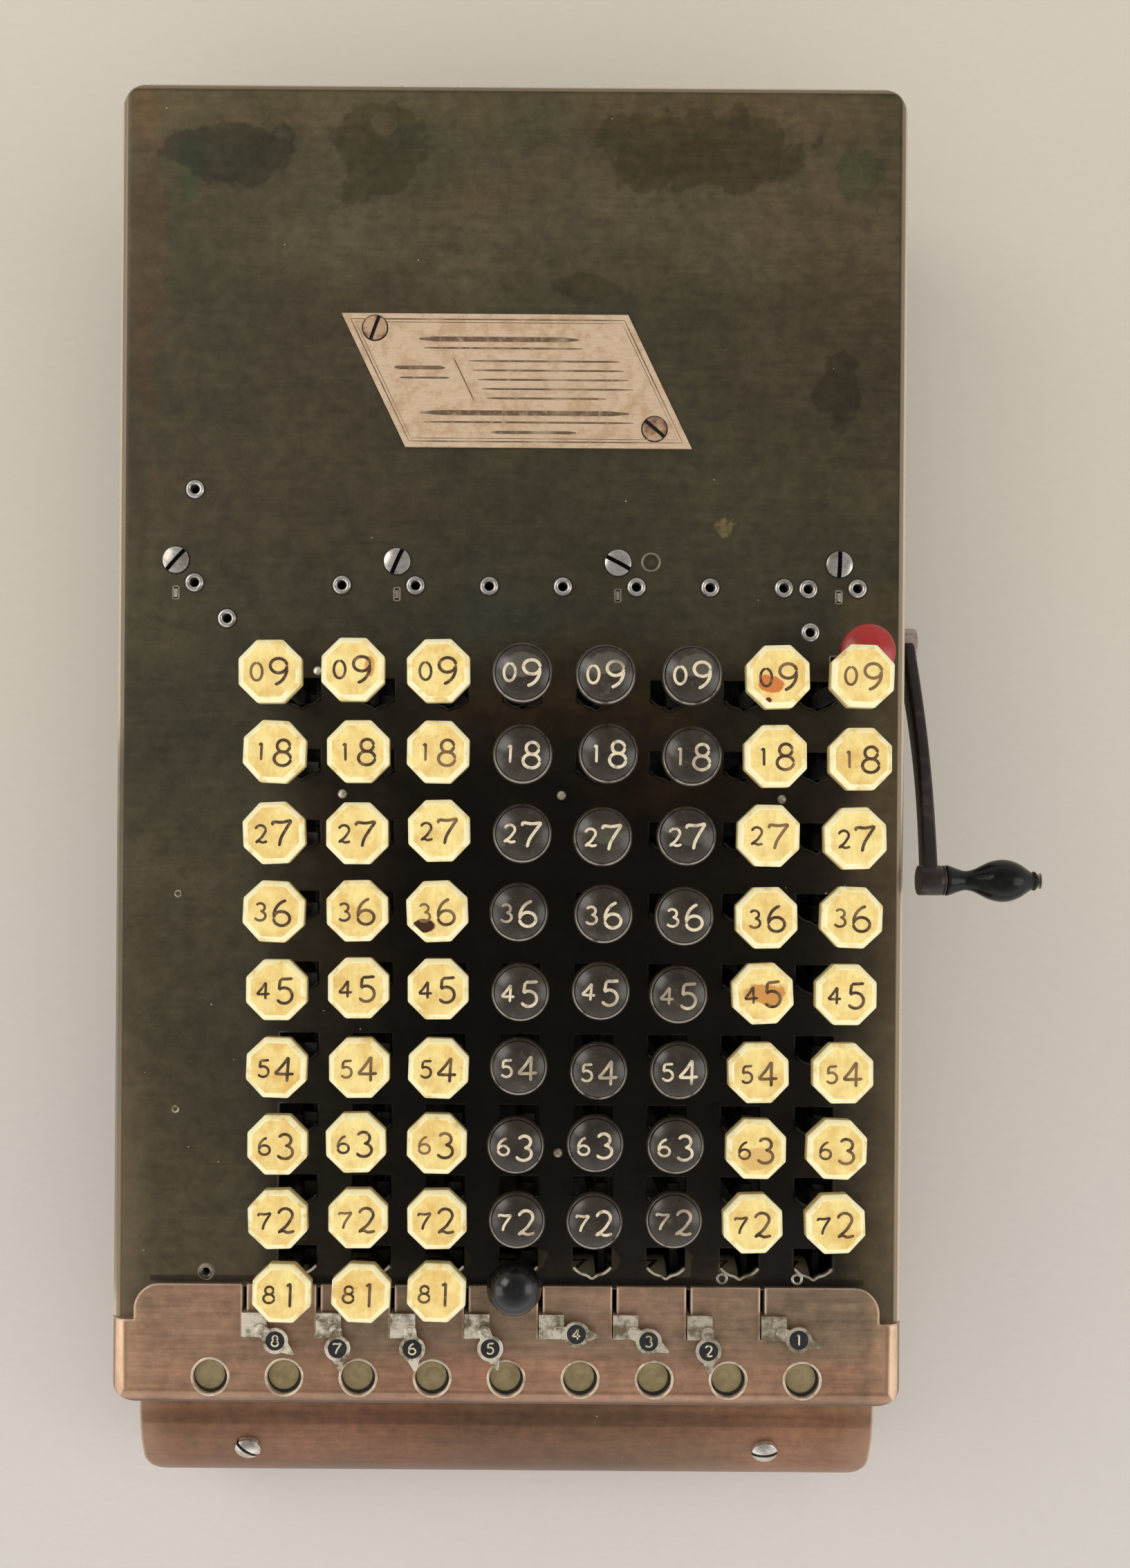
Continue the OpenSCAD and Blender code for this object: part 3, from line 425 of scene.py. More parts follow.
def add_screw(shape: Shape, size: ScrewSize, turn: float, put: Callable[[np.ndarray], np.ndarray]) -> None:
    """Adds a slotted domed screw head.

    Sections stand across the slot, at distances s from its middle. Each runs over the head at the
    height high sqrt(1 - dome (radius / r)^2), less the slot's depth inside its walls, and back along
    the underside.

    Args:
        shape: The shape that it joins.
        size: Radius r of the head, its height and the width of its slot.
        turn: Turn of the slot, in degrees.
        put: Places the head's points.
    """
    dome, cut, edge, under_z = 0.72, 0.75, 0.12, -0.05
    r, high, slot_w = size
    half = slot_w / 2
    out = r * np.sin(np.linspace(0.0, np.pi / 2, 12))
    out = out[out > half * 1.2]
    s = np.concatenate([-out[::-1], [-half, -half, half, half], out])
    deep = np.concatenate([np.zeros(len(out) + 1), [1.0, 1.0], np.zeros(len(out) + 1)])
    reach = np.sqrt(np.maximum(r**2 - s**2, 0.0004))
    t = np.sin(np.linspace(-np.pi / 2, np.pi / 2, 17))
    along = reach[:, None] * t
    radius = np.hypot(s[:, None], along) / r
    top = high * np.sqrt(np.maximum(1 - dome * radius**2, 0)) - deep[:, None] * high * cut
    rim = np.stack([np.repeat(s[:, None], len(t), 1), along, np.maximum(top, high * edge)], -1)
    under = rim[:, ::-1].copy()
    under[..., 2] = under_z
    grid = np.concatenate([rim, under], 1)
    flat = turned_by(grid[..., :2].reshape(-1, 2), turn - 90).reshape(*grid.shape[:2], 2)
    # The slot's sections are marked, for the finish to darken as dirt and painted shade.
    shape.surface(put(np.concatenate([flat, grid[..., 2:]], -1)), marking=deep)


class Bench:
    """Lays out one material's nodes and joins them up."""

    def __init__(self, name: str) -> None:
        """Starts a material with a shader on its output.

        Args:
            name: The material's name.
        """
        self.result = bpy.data.materials.new(name)
        self.result.use_nodes = True
        self.tree = self.result.node_tree
        self.tree.nodes.clear()
        out = self.tree.nodes.new("ShaderNodeOutputMaterial")
        self.shader = self.tree.nodes.new("ShaderNodeBsdfPrincipled")
        self.tree.links.new(self.shader.outputs[0], out.inputs[0])
        self.place = self.tree.nodes.new("ShaderNodeTexCoord").outputs["Object"]

    def put(self, socket: Socket, value: object) -> None:
        """Joins a socket to another one, or sets it to a constant."""
        if isinstance(value, Socket):
            self.tree.links.new(value, socket)
        elif isinstance(value, tuple) and socket.type == "RGBA":
            socket.default_value = (*value[:3], 1.0)
        else:
            socket.default_value = value

    def set(self, **values: object) -> None:
        """Sets the shader's sockets, with underscores for the spaces in their names."""
        for name, value in values.items():
            self.put(self.shader.inputs[name.replace("_", " ")], value)

    def math(self, kind: str, a: object, b: object = 0.0, clamp: bool = False) -> Socket:
        """Result of a named operation on one or two values."""
        node = self.tree.nodes.new("ShaderNodeMath")
        node.operation = kind
        node.use_clamp = clamp
        self.put(node.inputs[0], a)
        self.put(node.inputs[1], b)
        return node.outputs[0]

    def plus(self, a: object, b: object) -> Socket:
        """The sum of two values."""
        return self.math("ADD", a, b)

    def minus(self, a: object, b: object) -> Socket:
        """The difference of two values."""
        return self.math("SUBTRACT", a, b)

    def times(self, a: object, b: object) -> Socket:
        """The product of two values."""
        return self.math("MULTIPLY", a, b)

    def near(self, value: object, start: float, end: float) -> Socket:
        """Smooth step of a value: 0 at start and 1 at end."""
        node = self.tree.nodes.new("ShaderNodeMapRange")
        node.interpolation_type = "SMOOTHSTEP"
        self.put(node.inputs["Value"], value)
        node.inputs["From Min"].default_value = start
        node.inputs["From Max"].default_value = end
        return node.outputs["Result"]

    def vector(self, kind: str, a: object, b: object) -> Socket:
        """Result of a named operation on two vectors."""
        node = self.tree.nodes.new("ShaderNodeVectorMath")
        node.operation = kind
        self.put(node.inputs[0], a)
        self.put(node.inputs[1], b)
        return node.outputs["Value" if kind in ("LENGTH", "DOT_PRODUCT") else "Vector"]

    def noise(self, scale: float, detail: float = 4.0, stretch: tuple[float, float, float] = (1.0, 1.0, 1.0),
              shift: float = 0.0, rough: float = 0.55) -> Socket:
        """Cloudy noise on the object's coordinates, with so many features to a metre.

        Args:
            scale: Features to a metre.
            detail: Octaves of finer noise.
            stretch: Factor on each axis of the coordinates.
            shift: Offset of the coordinates, for a pattern of its own.
            rough: Weight of the finer octaves.

        Returns:
            The noise, about 0.5.
        """
        at = self.place
        if stretch != (1.0, 1.0, 1.0) or shift:
            at = self.vector("MULTIPLY", self.vector("ADD", at, (shift, shift, shift)), stretch)
        node = self.tree.nodes.new("ShaderNodeTexNoise")
        self.put(node.inputs["Vector"], at)
        node.inputs["Scale"].default_value = scale
        node.inputs["Detail"].default_value = detail
        node.inputs["Roughness"].default_value = rough
        return node.outputs["Fac"]

    def specks(self, scale: float, size: float, share: float) -> Socket:
        """Sparse round specks: 1 inside size of a cell's point, in a share of the cells.

        Args:
            scale: Cells to a metre.
            size: Radius of a speck as a share of a cell.
            share: Share of the cells that have one.

        Returns:
            The mask.
        """
        node = self.tree.nodes.new("ShaderNodeTexVoronoi")
        self.put(node.inputs["Vector"], self.place)
        node.inputs["Scale"].default_value = scale
        chosen = self.tree.nodes.new("ShaderNodeSeparateColor")
        self.put(chosen.inputs[0], node.outputs["Color"])
        inside = self.near(node.outputs["Distance"], size, size * 0.6)
        return self.times(inside, self.near(chosen.outputs[0], 1 - share, 1.001 - share))

    def mix(self, share: object, a: object, b: object, kind: str = "MIX") -> Socket:
        """Colour a with a share of colour b."""
        node = self.tree.nodes.new("ShaderNodeMix")
        node.data_type = "RGBA"
        node.blend_type = kind
        self.put(node.inputs[0], share)
        self.put(node.inputs[6], a)
        self.put(node.inputs[7], b)
        return node.outputs[2]

    def shaded(self, share: float, base: object, value: object, low: tuple[float, Colour],
               high: tuple[float, Colour]) -> Socket:
        """A colour multiplied, by a share, with a ramp of two stops over a value."""
        return self.mix(share, base, self.ramp(value, [low, high]), "MULTIPLY")

    def ramp(self, value: object, stops: Sequence[tuple[float, Colour]]) -> Socket:
        """Colour from a value by stops of place and colour."""
        node = self.tree.nodes.new("ShaderNodeValToRGB")
        self.put(node.inputs[0], value)
        points = node.color_ramp.elements
        while len(points) < len(stops):
            points.new(0.5)
        for point, (at, colour) in zip(points, stops):
            point.position = at
            point.color = (*colour, 1.0)
        return node.outputs[0]

    def tone(self, name: str = "tone") -> Socket:
        """The value that is stored with a piece's points."""
        node = self.tree.nodes.new("ShaderNodeAttribute")
        node.attribute_name = name
        return node.outputs["Fac"]

    def parts(self, value: Socket | None = None) -> list[Socket]:
        """A vector, or else the object coordinates, as three values."""
        node = self.tree.nodes.new("ShaderNodeSeparateXYZ")
        self.put(node.inputs[0], value or self.place)
        return list(node.outputs)

    def patch(self, cx: float, cy: float, rx: float, ry: float, soft: float) -> Socket:
        """Mask of a soft, wavy-edged rectangle about a place in the machine's frame, in millimetres."""
        x, y = self.parts()[:2]
        wave = self.times(self.minus(self.noise(45, 5, shift=0.9), 0.5), soft * 1.6 * MM)
        px = self.plus(self.math("ABSOLUTE", self.minus(x, (cx - ORIGIN[0]) * MM)), wave)
        py = self.plus(self.math("ABSOLUTE", self.minus(y, (cy - ORIGIN[1]) * MM)), wave)
        return self.times(self.near(px, (rx + soft) * MM, rx * MM), self.near(py, (ry + soft) * MM, ry * MM))

    def blot(self, x: float, y: float, rx: float, ry: float, ragged: float) -> Socket:
        """Mask of a stain: 1 where |(p - middle) / size| + ragged (noise - 0.5) is under 0.85.

        Args:
            x: Middle along X in the machine's frame, in millimetres.
            y: Middle along Y.
            rx: Half its width.
            ry: Half its depth.
            ragged: How far the noise moves its edge.

        Returns:
            The mask.
        """
        at = self.vector("SUBTRACT", self.place, ((x - ORIGIN[0]) * MM, (y - ORIGIN[1]) * MM, 0.0))
        at = self.vector("MULTIPLY", at, (1 / rx / MM, 1 / ry / MM, 0.0))
        rim = self.times(self.minus(self.noise(120, 5), 0.5), ragged)
        return self.near(self.plus(self.vector("LENGTH", at, (0, 0, 0)), rim), 1.0, 0.82)

    def rounded(self, radius: float) -> Socket:
        """Normal of a surface whose edges look rounded by so many metres."""
        node = self.tree.nodes.new("ShaderNodeBevel")
        node.samples = 6
        node.inputs["Radius"].default_value = radius
        return node.outputs[0]

    def sharpness(self, rounded: Socket) -> Socket:
        """How sharp an edge is near: 1 - rounded normal . the surface's own normal."""
        own = self.tree.nodes.new("ShaderNodeNewGeometry").outputs["Normal"]
        return self.minus(1.0, self.vector("DOT_PRODUCT", rounded, own))

    def bump(self, height: object, depth: float, strength: float = 1.0, normal: object = None) -> Socket:
        """Normal of a bump of so many metres, on the surface or on another normal."""
        node = self.tree.nodes.new("ShaderNodeBump")
        node.inputs["Strength"].default_value = strength
        node.inputs["Distance"].default_value = depth
        self.put(node.inputs["Height"], height)
        if normal:
            self.put(node.inputs["Normal"], normal)
        return node.outputs[0]

    def within(self, value: object, low: float, high: float, soft: float) -> Socket:
        """1 between low and high, with soft ends outside them."""
        return self.times(self.near(value, low - soft, low), self.near(value, high + soft, high))


def grey(level: float) -> Colour:
    """The grey of a level."""
    return level, level, level


@dataclass(frozen=True)
class Finish:
    """A finish that makes its material once."""

    name: str

    def material(self) -> bpy.types.Material:
        """The finish's material."""
        found = bpy.data.materials.get(self.name)
        if found:
            return found
        bench = Bench(self.name)
        self.lay(bench)
        return bench.result

    def lay(self, bench: Bench) -> None:
        """Lays out the finish's nodes."""
        raise NotImplementedError


@dataclass(frozen=True)
class WornBronze(Finish):
    """Bronze lacquer with clouds, faint streaks along X, specks, copper showing through on its sharp
    edges where wear has reached it, and painted light on its rounded edges.

    The colour is a ramp over cloudy noise. Each band is a soft-edged rectangle in which the colour
    is multiplied by one of its own, and each stain is an ellipse with a ragged rim; some bands paint
    shade and some paint sheen. On a rounded edge the normal's height tells how far round it is, and
    bend holds the heights where the bright outermost line, the taupe band and the dark line end:
    they are a painted highlight, a painted band of reflected light and a painted dark reflection. A
    painted shade band darkens the place between the bright line and the taupe. The bright line is
    seen above the height rim only, and a rim of 0 keeps it to sharp edges. It is weaker in the dull
    patch, absent among the keys, and the share along is left of it on edges that run along X. A
    painted copper sheen lies near the sides, towards the front.
    """

    dark: Colour = (0.045, 0.038, 0.020)
    light: Colour = (0.080, 0.066, 0.036)
    ruddy: Colour = (0.084, 0.058, 0.031)
    green: Colour = (0.045, 0.047, 0.027)
    # Copper of the scuffs, and of the painted sheen at the front sides.
    copper: Colour = (0.30, 0.20, 0.12)
    # Colour of the copper showing on sharp edges, and of the painted highlight on rounded ones.
    gleam: Colour = (0.80, 0.68, 0.52)
    # Share of the painted copper sheen at the front sides.
    glow: float = 0.5
    gleam_metal: float = 0.62
    # Colour of the painted band of reflected light on rounded edges; the next two tint the painted shade band
    # and the painted dark line.
    taupe: Colour = (0.27, 0.21, 0.135)
    shade_band_tint: Colour = (0.30, 0.24, 0.20)
    line_tint: Colour = (0.4, 0.34, 0.26)
    dust: Colour = (0.55, 0.51, 0.42)
    # Share of the painted highlight on the rounded edges.
    highlight_share: float = 0.85
    along: float = 0.9
    bend: tuple[float, float, float] = (0.80, 0.955, 0.99)
    # Strength of the painted shade band.
    shade_band: float = 0.0
    dull: Patch = (-104.0, 96.0, 10.0, 56.0, 30.0)
    among_keys: Patch = (14.0, 112.0, 70.0, 76.0, 6.0)
    metal: float = 0.5
    rim: float = 0.0825
    edge: float = 0.0008
    streaks: float = 0.25
    bands: tuple[Band, ...] = ()
    stains: tuple[Stain, ...] = ()

    def ground(self, bench: Bench) -> tuple[Socket, Socket, Socket]:
        """Lays out the clouds, the bands, the streaks, the stains and the painted copper sheen at the front
        sides.

        Args:
            bench: The material's bench.

        Returns:
            The colour, the fine mottle and the streaks.
        """
        x, y, _ = bench.parts()
        cloud = bench.noise(14, 6, rough=0.62)
        base = bench.ramp(cloud, [(0.36, self.dark), (0.64, self.light)])
        red = bench.near(bench.noise(11, 5, shift=0.7), 0.50, 0.72)
        base = bench.mix(bench.times(red, 0.7), base, self.ruddy)
        moss = bench.near(bench.noise(19, 5, shift=1.9), 0.54, 0.74)
        base = bench.mix(bench.times(moss, 0.6), base, self.green)
        for cx, cy, rx, ry, soft, share, colour in self.bands:
            inside = bench.patch(cx, cy, rx, ry, soft)
            base = bench.mix(bench.times(inside, share), base, colour, "MULTIPLY")
        mottle = bench.noise(260, 6, rough=0.7)
        base = bench.shaded(0.5, base, mottle, (0.35, grey(0.62)), (0.68, (1.4, 1.38, 1.3)))
        streak = bench.noise(900, 3, stretch=(0.06, 1.0, 0.6))
        base = bench.shaded(self.streaks, base, streak, (0.3, grey(0.66)), (0.7, grey(1.3)))
        for sx, sy, rx, ry, colour, ragged in self.stains:
            base = bench.mix(bench.blot(sx, sy, rx, ry, ragged), base, colour, "MULTIPLY")
        # A painted copper sheen near the sides, towards the front.
        across = bench.math("ABSOLUTE", bench.plus(x, ORIGIN[0] * MM))
        half = PLACE.half_w * MM
        wide = bench.near(across, half - 0.012, half + 0.002)
        patchy = bench.near(bench.noise(38, 5, stretch=(1.0, 0.4, 1.0), shift=0.6), 0.15, 0.65)
        shine = bench.times(bench.times(wide, bench.near(y, 0.02, -0.12)), patchy)
        return bench.mix(bench.times(shine, self.glow), base, self.copper), mottle, streak

    def edges(self, bench: Bench, base: Socket, rounded: Socket, clean: Socket) -> tuple[Socket, Socket]:
        """Lays out the painted lines of light and shade on the rounded edges.

        Args:
            bench: The material's bench.
            base: The colour of the ground.
            rounded: Normal of the rounded edges.
            clean: Mask of the places that may show wear or the painted lines.

        Returns:
            The colour with its painted taupe band, shade band and dark line, and the mask of the painted
            bright line.
        """
        side, _, up = bench.parts(rounded)
        # Where the painted lines of light may show: less in the dull patch, none among the keys.
        edge_light_mask = bench.minus(1.0, bench.times(bench.patch(*self.dull), 0.75))
        edge_light_mask = bench.times(edge_light_mask, clean)
        sides = bench.near(bench.math("ABSOLUTE", side), 0.12, 0.40)
        sides = bench.math("MAXIMUM", sides, self.along)
        line, band, seam = self.bend
        high = bench.near(bench.parts()[2], self.rim - 0.001, self.rim)
        # The bright line: a painted highlight where the rounded edge leans so far.
        lean = bench.times(bench.near(up, line + 0.04, line - 0.06), high)
        lean = bench.times(bench.times(lean, edge_light_mask), bench.times(sides, self.highlight_share))
        if self.rim == 0:
            lean = bench.times(lean, bench.near(bench.sharpness(rounded), 0.02, 0.08))
        # The taupe band: a painted band of reflected light.
        middle = bench.times(bench.within(up, line + 0.03, band, 0.02), bench.times(edge_light_mask, sides))
        if self.shade_band:
            torn = bench.noise(46, 6, stretch=(1.0, 0.4, 1.0), shift=0.9, rough=0.7)
            middle = bench.times(middle, bench.near(torn, 0.30, 0.55))
        base = bench.mix(bench.times(middle, 0.85), base, self.taupe)
        if self.shade_band:
            # The shade band: painted shade between the bright line and the taupe.
            deep = bench.times(bench.within(up, line, line + 0.22, 0.05), self.shade_band)
            base = bench.mix(deep, base, self.shade_band_tint, "MULTIPLY")
        # The dark line: a painted dark reflection.
        dark = bench.times(bench.within(up, band + 0.015, seam, 0.008), 0.45)
        return bench.mix(dark, base, self.line_tint, "MULTIPLY"), lean

    def lay(self, bench: Bench) -> None:
        """Lays out the ground, the edge wear with the painted highlight, the scuffs, the specks and the
        roughness.
        """
        base, mottle, streak = self.ground(bench)
        rounded = bench.rounded(self.edge)
        clean = bench.minus(1.0, bench.patch(*self.among_keys))
        base, lean = self.edges(bench, base, rounded, clean)
        ragged = bench.near(bench.noise(60, 6, stretch=(1.0, 0.25, 1.0), shift=0.3, rough=0.75), 0.30, 0.60)
        wear = bench.times(bench.near(bench.sharpness(rounded), 0.03, 0.13), bench.times(ragged, clean))
        scuffs = bench.times(bench.near(bench.noise(420, 6, rough=0.75), 0.68, 0.78), 0.3)
        base = bench.mix(scuffs, base, self.copper)
        # Copper showing through on the sharp edges, and the painted highlight of the bright line.
        shiny = bench.math("MAXIMUM", lean, bench.times(wear, 0.75))
        base = bench.mix(shiny, base, self.gleam)
        grains = bench.math("MAXIMUM", bench.specks(75, 0.022, 0.2), bench.specks(260, 0.06, 0.07))
        base = bench.mix(bench.times(grains, 0.7), base, self.dust)
        rough = bench.plus(bench.times(mottle, 0.22), bench.times(streak, 0.1))
        rough = bench.minus(bench.plus(rough, 0.24), bench.times(shiny, 0.14))
        metal = bench.plus(bench.times(shiny, self.gleam_metal - self.metal), self.metal)
        height = bench.plus(streak, bench.times(mottle, 1.2))
        bench.set(Base_Color=base, Metallic=metal, Roughness=rough, Coat_Weight=0.12, Coat_Roughness=0.35,
                  Normal=bench.bump(height, 0.00003, 0.5, rounded))


@dataclass(frozen=True)
class PlainMetal(Finish):
    """Bare or plated metal: fine turned or brushed streaks under tarnish, with dirt and painted shade in
    its slots.

    The stored marking picks out the slots, and fade is how far the colour goes towards the tarnish
    colour to the right.
    """

    bright: Colour = (0.62, 0.6, 0.56)
    tarnish: Colour = (0.30, 0.26, 0.20)
    amount: float = 0.5
    rough: float = 0.3
    metal: float = 0.9
    fade: float = 0.0
    dirt: Colour = (0.012, 0.010, 0.008)

    def lay(self, bench: Bench) -> None:
        """Lays out the tarnish, the streaks, the scratches, and the dirt and painted shade in the slots."""
        cloud = bench.noise(260, 6, rough=0.65)
        stain = bench.times(bench.near(cloud, 0.42, 0.64), self.amount)
        base = bench.mix(stain, self.bright, self.tarnish)
        if self.fade:
            right = bench.times(bench.near(bench.parts()[0], -0.05, 0.07), self.fade)
            base = bench.mix(right, base, self.tarnish)
        streak = bench.noise(2600, 2, stretch=(0.12, 1.0, 0.12))
        base = bench.shaded(0.4, base, streak, (0.3, grey(0.75)), (0.7, grey(1.1)))
        # The slots darkened: dirt and painted shade.
        base = bench.mix(bench.tone("marking"), base, self.dirt)
        rough = bench.plus(bench.times(cloud, 0.25), self.rough - 0.1)
        bench.set(Base_Color=base, Metallic=self.metal, Roughness=rough,
                  Normal=bench.bump(bench.plus(streak, cloud), 0.00002, 0.5))


@dataclass(frozen=True)
class Celluloid(Finish):
    """Cast celluloid: a shade of its own for each cap, ochre clouds, and paler bevels.

    The stored tone gives each cap its shade, and the stored marking pales the bevels, partly as wear
    and partly as a painted highlight; on the black caps it is the painted bright arc of the bevel
    towards the operator. Each stain is an ellipse with a ragged rim.
    """

    fresh: Colour = (0.80, 0.66, 0.27)
    aged: Colour = (0.66, 0.43, 0.12)
    pale: Colour = (0.86, 0.79, 0.48)
    dirt: Colour = (0.26, 0.13, 0.03)
    rough: float = 0.3
    glow: float = 0.1
    coat: float = 0.2
    dust: float = 0.0
    lint: Colour = (0.34, 0.29, 0.22)
    stains: tuple[Stain, ...] = ()

    def lay(self, bench: Bench) -> None:
        """Lays out the shades, the grain, the stains and the bevels."""
        cloud = bench.noise(210, 5, rough=0.62)
        shade = bench.math("ADD", bench.times(bench.tone(), 0.35),
                           bench.times(bench.minus(cloud, 0.44), 3.2), clamp=True)
        base = bench.mix(shade, self.fresh, self.aged)
        grain = bench.noise(900, 4, stretch=(1.0, 0.3, 1.0), rough=0.65)
        base = bench.shaded(0.4, base, grain, (0.32, (0.80, 0.76, 0.66)), (0.68, (1.12, 1.12, 1.1)))
        grime = bench.near(bench.noise(520, 6, rough=0.72, shift=0.05), 0.58, 0.74)
        base = bench.mix(bench.times(grime, 0.35), base, self.dirt)
        for sx, sy, rx, ry, colour, ragged in self.stains:
            base = bench.mix(bench.blot(sx, sy, rx, ry, ragged), base, colour)
        # Paler bevels: partly wear, partly a painted highlight.
        edge = bench.times(bench.tone("marking"), bench.near(bench.noise(300, 5, shift=0.8), 0.30, 0.52))
        base = bench.mix(edge, base, self.pale)
        if self.dust:
            fine = bench.near(bench.noise(1300, 5, shift=0.2, rough=0.7), 0.60, 0.68)
            broad = bench.near(bench.noise(330, 5, shift=0.5, rough=0.7), 0.56, 0.78)
            base = bench.mix(bench.times(bench.math("MAXIMUM", fine, broad), self.dust), base, self.lint)
        rough = bench.plus(bench.times(cloud, 0.3), self.rough - 0.15)
        bench.set(Base_Color=base, Roughness=rough, Subsurface_Weight=self.glow, Subsurface_Scale=0.002,
                  Subsurface_Radius=(1.0, 0.8, 0.4), Coat_Weight=self.coat, Coat_Roughness=0.2,
                  Normal=bench.bump(bench.plus(cloud, bench.times(grain, 0.4)), 0.00006, 0.5))


@dataclass(frozen=True)
class Ink(Finish):
    """Filling of engraved digits and rules, rubbed thin in places."""

    colour: Colour = (0.03, 0.018, 0.01)
    rubbed: Colour = (0.30, 0.17, 0.06)
    share: float = 0.6
    rough: float = 0.5

    def lay(self, bench: Bench) -> None:
        """Lays out the filling and its rubbed patches."""
        cloud = bench.noise(520, 5, rough=0.7)
        thin = bench.times(bench.near(cloud, 0.48, 0.68), self.share)
        wide = bench.times(bench.near(bench.noise(70, 3, shift=0.4), 0.48, 0.66), self.share)
        base = bench.mix(bench.math("MAXIMUM", thin, wide), self.colour, self.rubbed)
        bench.set(Base_Color=base, Roughness=self.rough, Normal=bench.bump(cloud, 0.00005, 0.4))


@dataclass(frozen=True)
class Lacquer(Finish):
    """Glossy lacquer or enamel with faint orange peel and handling marks."""

    colour: Colour = (0.012, 0.012, 0.012)
    marking: Colour = (0.06, 0.05, 0.04)
    rough: float = 0.18
    metal: float = 0.0
    coat: float = 0.3
    level: float = 0.5
    peel: float = 0.00005

    def lay(self, bench: Bench) -> None:
        """Lays out the lacquer, its peel and its handling marks."""
        cloud = bench.noise(180, 6, rough=0.65)
        base = bench.mix(bench.near(cloud, 0.5, 0.75), self.colour, self.marking)
        peel = bench.noise(1400, 3)
        rough = bench.plus(bench.times(cloud, 0.22), self.rough - 0.08)
        bench.set(Base_Color=base, Metallic=self.metal, Roughness=rough, Coat_Weight=self.coat,
                  Coat_Roughness=0.12, Specular_IOR_Level=self.level,
                  Normal=bench.bump(bench.plus(peel, cloud), self.peel, 0.5))


@dataclass(frozen=True)
class Pane(Finish):
    """Yellowed clear pane, cloudier in places, that lets most of the light through."""

    clear: Colour = (0.50, 0.41, 0.22)
    cloudy: Colour = (0.28, 0.21, 0.10)
    veil: float = 0.36

    def lay(self, bench: Bench) -> None:
        """Lays out the yellowing and how much of the light passes."""
        cloud = bench.noise(420, 5, rough=0.65)
        base = bench.ramp(cloud, [(0.36, self.clear), (0.66, self.cloudy)])
        veil = bench.plus(bench.times(cloud, 0.4), self.veil - 0.2)
        bench.set(Base_Color=base, Roughness=0.28, Alpha=veil, Coat_Weight=0.2, Coat_Roughness=0.1,
                  Normal=bench.bump(cloud, 0.00006, 0.5))


@dataclass(frozen=True)
class Paper(Finish):
    """Plain pale paper under the machine, with a faint fibre."""

    colour: Colour = (0.575, 0.530, 0.452)
    front: Colour = (0.570, 0.535, 0.505)

    def lay(self, bench: Bench) -> None:
        """Lays out the paper's tint and fibre."""
        fibre = bench.noise(500, 5, stretch=(0.4, 1.0, 1.0), rough=0.7)
        wave = bench.times(bench.noise(2.2, 3), 0.3)
        ahead = bench.near(bench.plus(bench.parts()[1], wave), 0.25, -0.10)
        base = bench.mix(ahead, self.colour, self.front)
        base = bench.shaded(0.12, base, fibre, (0.3, grey(0.8)), (0.7, grey(1.1)))
        bench.set(Base_Color=base, Roughness=0.75, Normal=bench.bump(fibre, 0.0001, 0.3))


# Tint of the painted shade between the keys.
KEYBOARD_SHADE: Colour = (0.30, 0.27, 0.25)
NO_PATCH: Patch = (0.0, 300.0, 1.0, 1.0, 1.0)
PLATE = WornBronze(
    "plate_bronze",
    bands=(
        # The first two bands paint the shade between the keys, and the third lightens it towards the back.
        (14.0, 112.0, 68.0, 74.0, 14.0, 0.85, KEYBOARD_SHADE),
        (24.0, 92.0, 50.0, 56.0, 30.0, 0.85, (0.24, 0.20, 0.155)),
        (14.0, 150.0, 66.0, 40.0, 12.0, 0.7, (1.35, 1.14, 0.92)),
        (-10.0, 240.0, 92.0, 14.0, 18.0, 0.35, (0.72, 0.70, 0.66)),
        # A painted sheen along the right edge.
        (95.0, 120.0, 6.0, 90.0, 4.0, 0.6, (1.5, 1.3, 1.1)),
        (0.0, 322.0, 110.0, 20.0, 22.0, 0.9, (1.5, 1.48, 1.48)),
        # A painted sheen along the low left edge.
        (-88.0, 75.0, 14.0, 60.0, 12.0, 0.6, (1.24, 1.2, 1.2)),
        (0.0, 336.0, 110.0, 4.0, 7.0, 0.6, (1.3, 1.2, 1.0)),
        # A painted shadow line along the top edge of the number cover.
        (0.0, 31.3, 92.0, 0.5, 0.7, 0.8, (0.30, 0.27, 0.24))),
    stains=(
        (-73, 322, 19, 9, (0.60, 0.62, 0.58), 1.4), (-36, 324, 13, 15, (0.68, 0.68, 0.62), 1.6),
        (48, 323, 29, 12, (0.64, 0.66, 0.58), 1.6), (84, 262, 6, 13, (0.66, 0.66, 0.58), 1.8),
        (18, 288, 9, 4, (0.8, 0.78, 0.72), 1.6), (-34, 330, 3.6, 3.4, (1.35, 1.35, 1.4), 0.6),
        (55.6, 225.5, 3.2, 2.6, (2.6, 2.3, 1.8), 5.0), (-84, 318, 3, 9, (0.8, 1.05, 0.95), 1.0),
        (90, 318, 7, 8, (0.72, 0.9, 0.8), 1.6), (-95, 300, 5, 60, (1.15, 0.95, 0.9), 2.0),
        # The five pale patches at y 36 and 36.5 lift the painted shade between the holes of row 1.
        (7.3, 36, 3.4, 3.6, (3.4, 3.5, 3.4), 2.2), (25.6, 36, 3.4, 3.6, (3.2, 3.5, 3.3), 2.2),
        (44.4, 36, 3.2, 3.4, (3.0, 3.2, 3.1), 2.2), (63.2, 36, 3.4, 3.6, (2.8, 3.1, 2.9), 2.2),
        (-11.6, 36.5, 3.2, 3.4, (2.6, 2.6, 2.4), 2.2), (14, 178, 30, 9, (1.35, 1.1, 0.85), 3.0),
        (40, 158, 16, 8, (1.4, 1.1, 0.8), 3.0)))
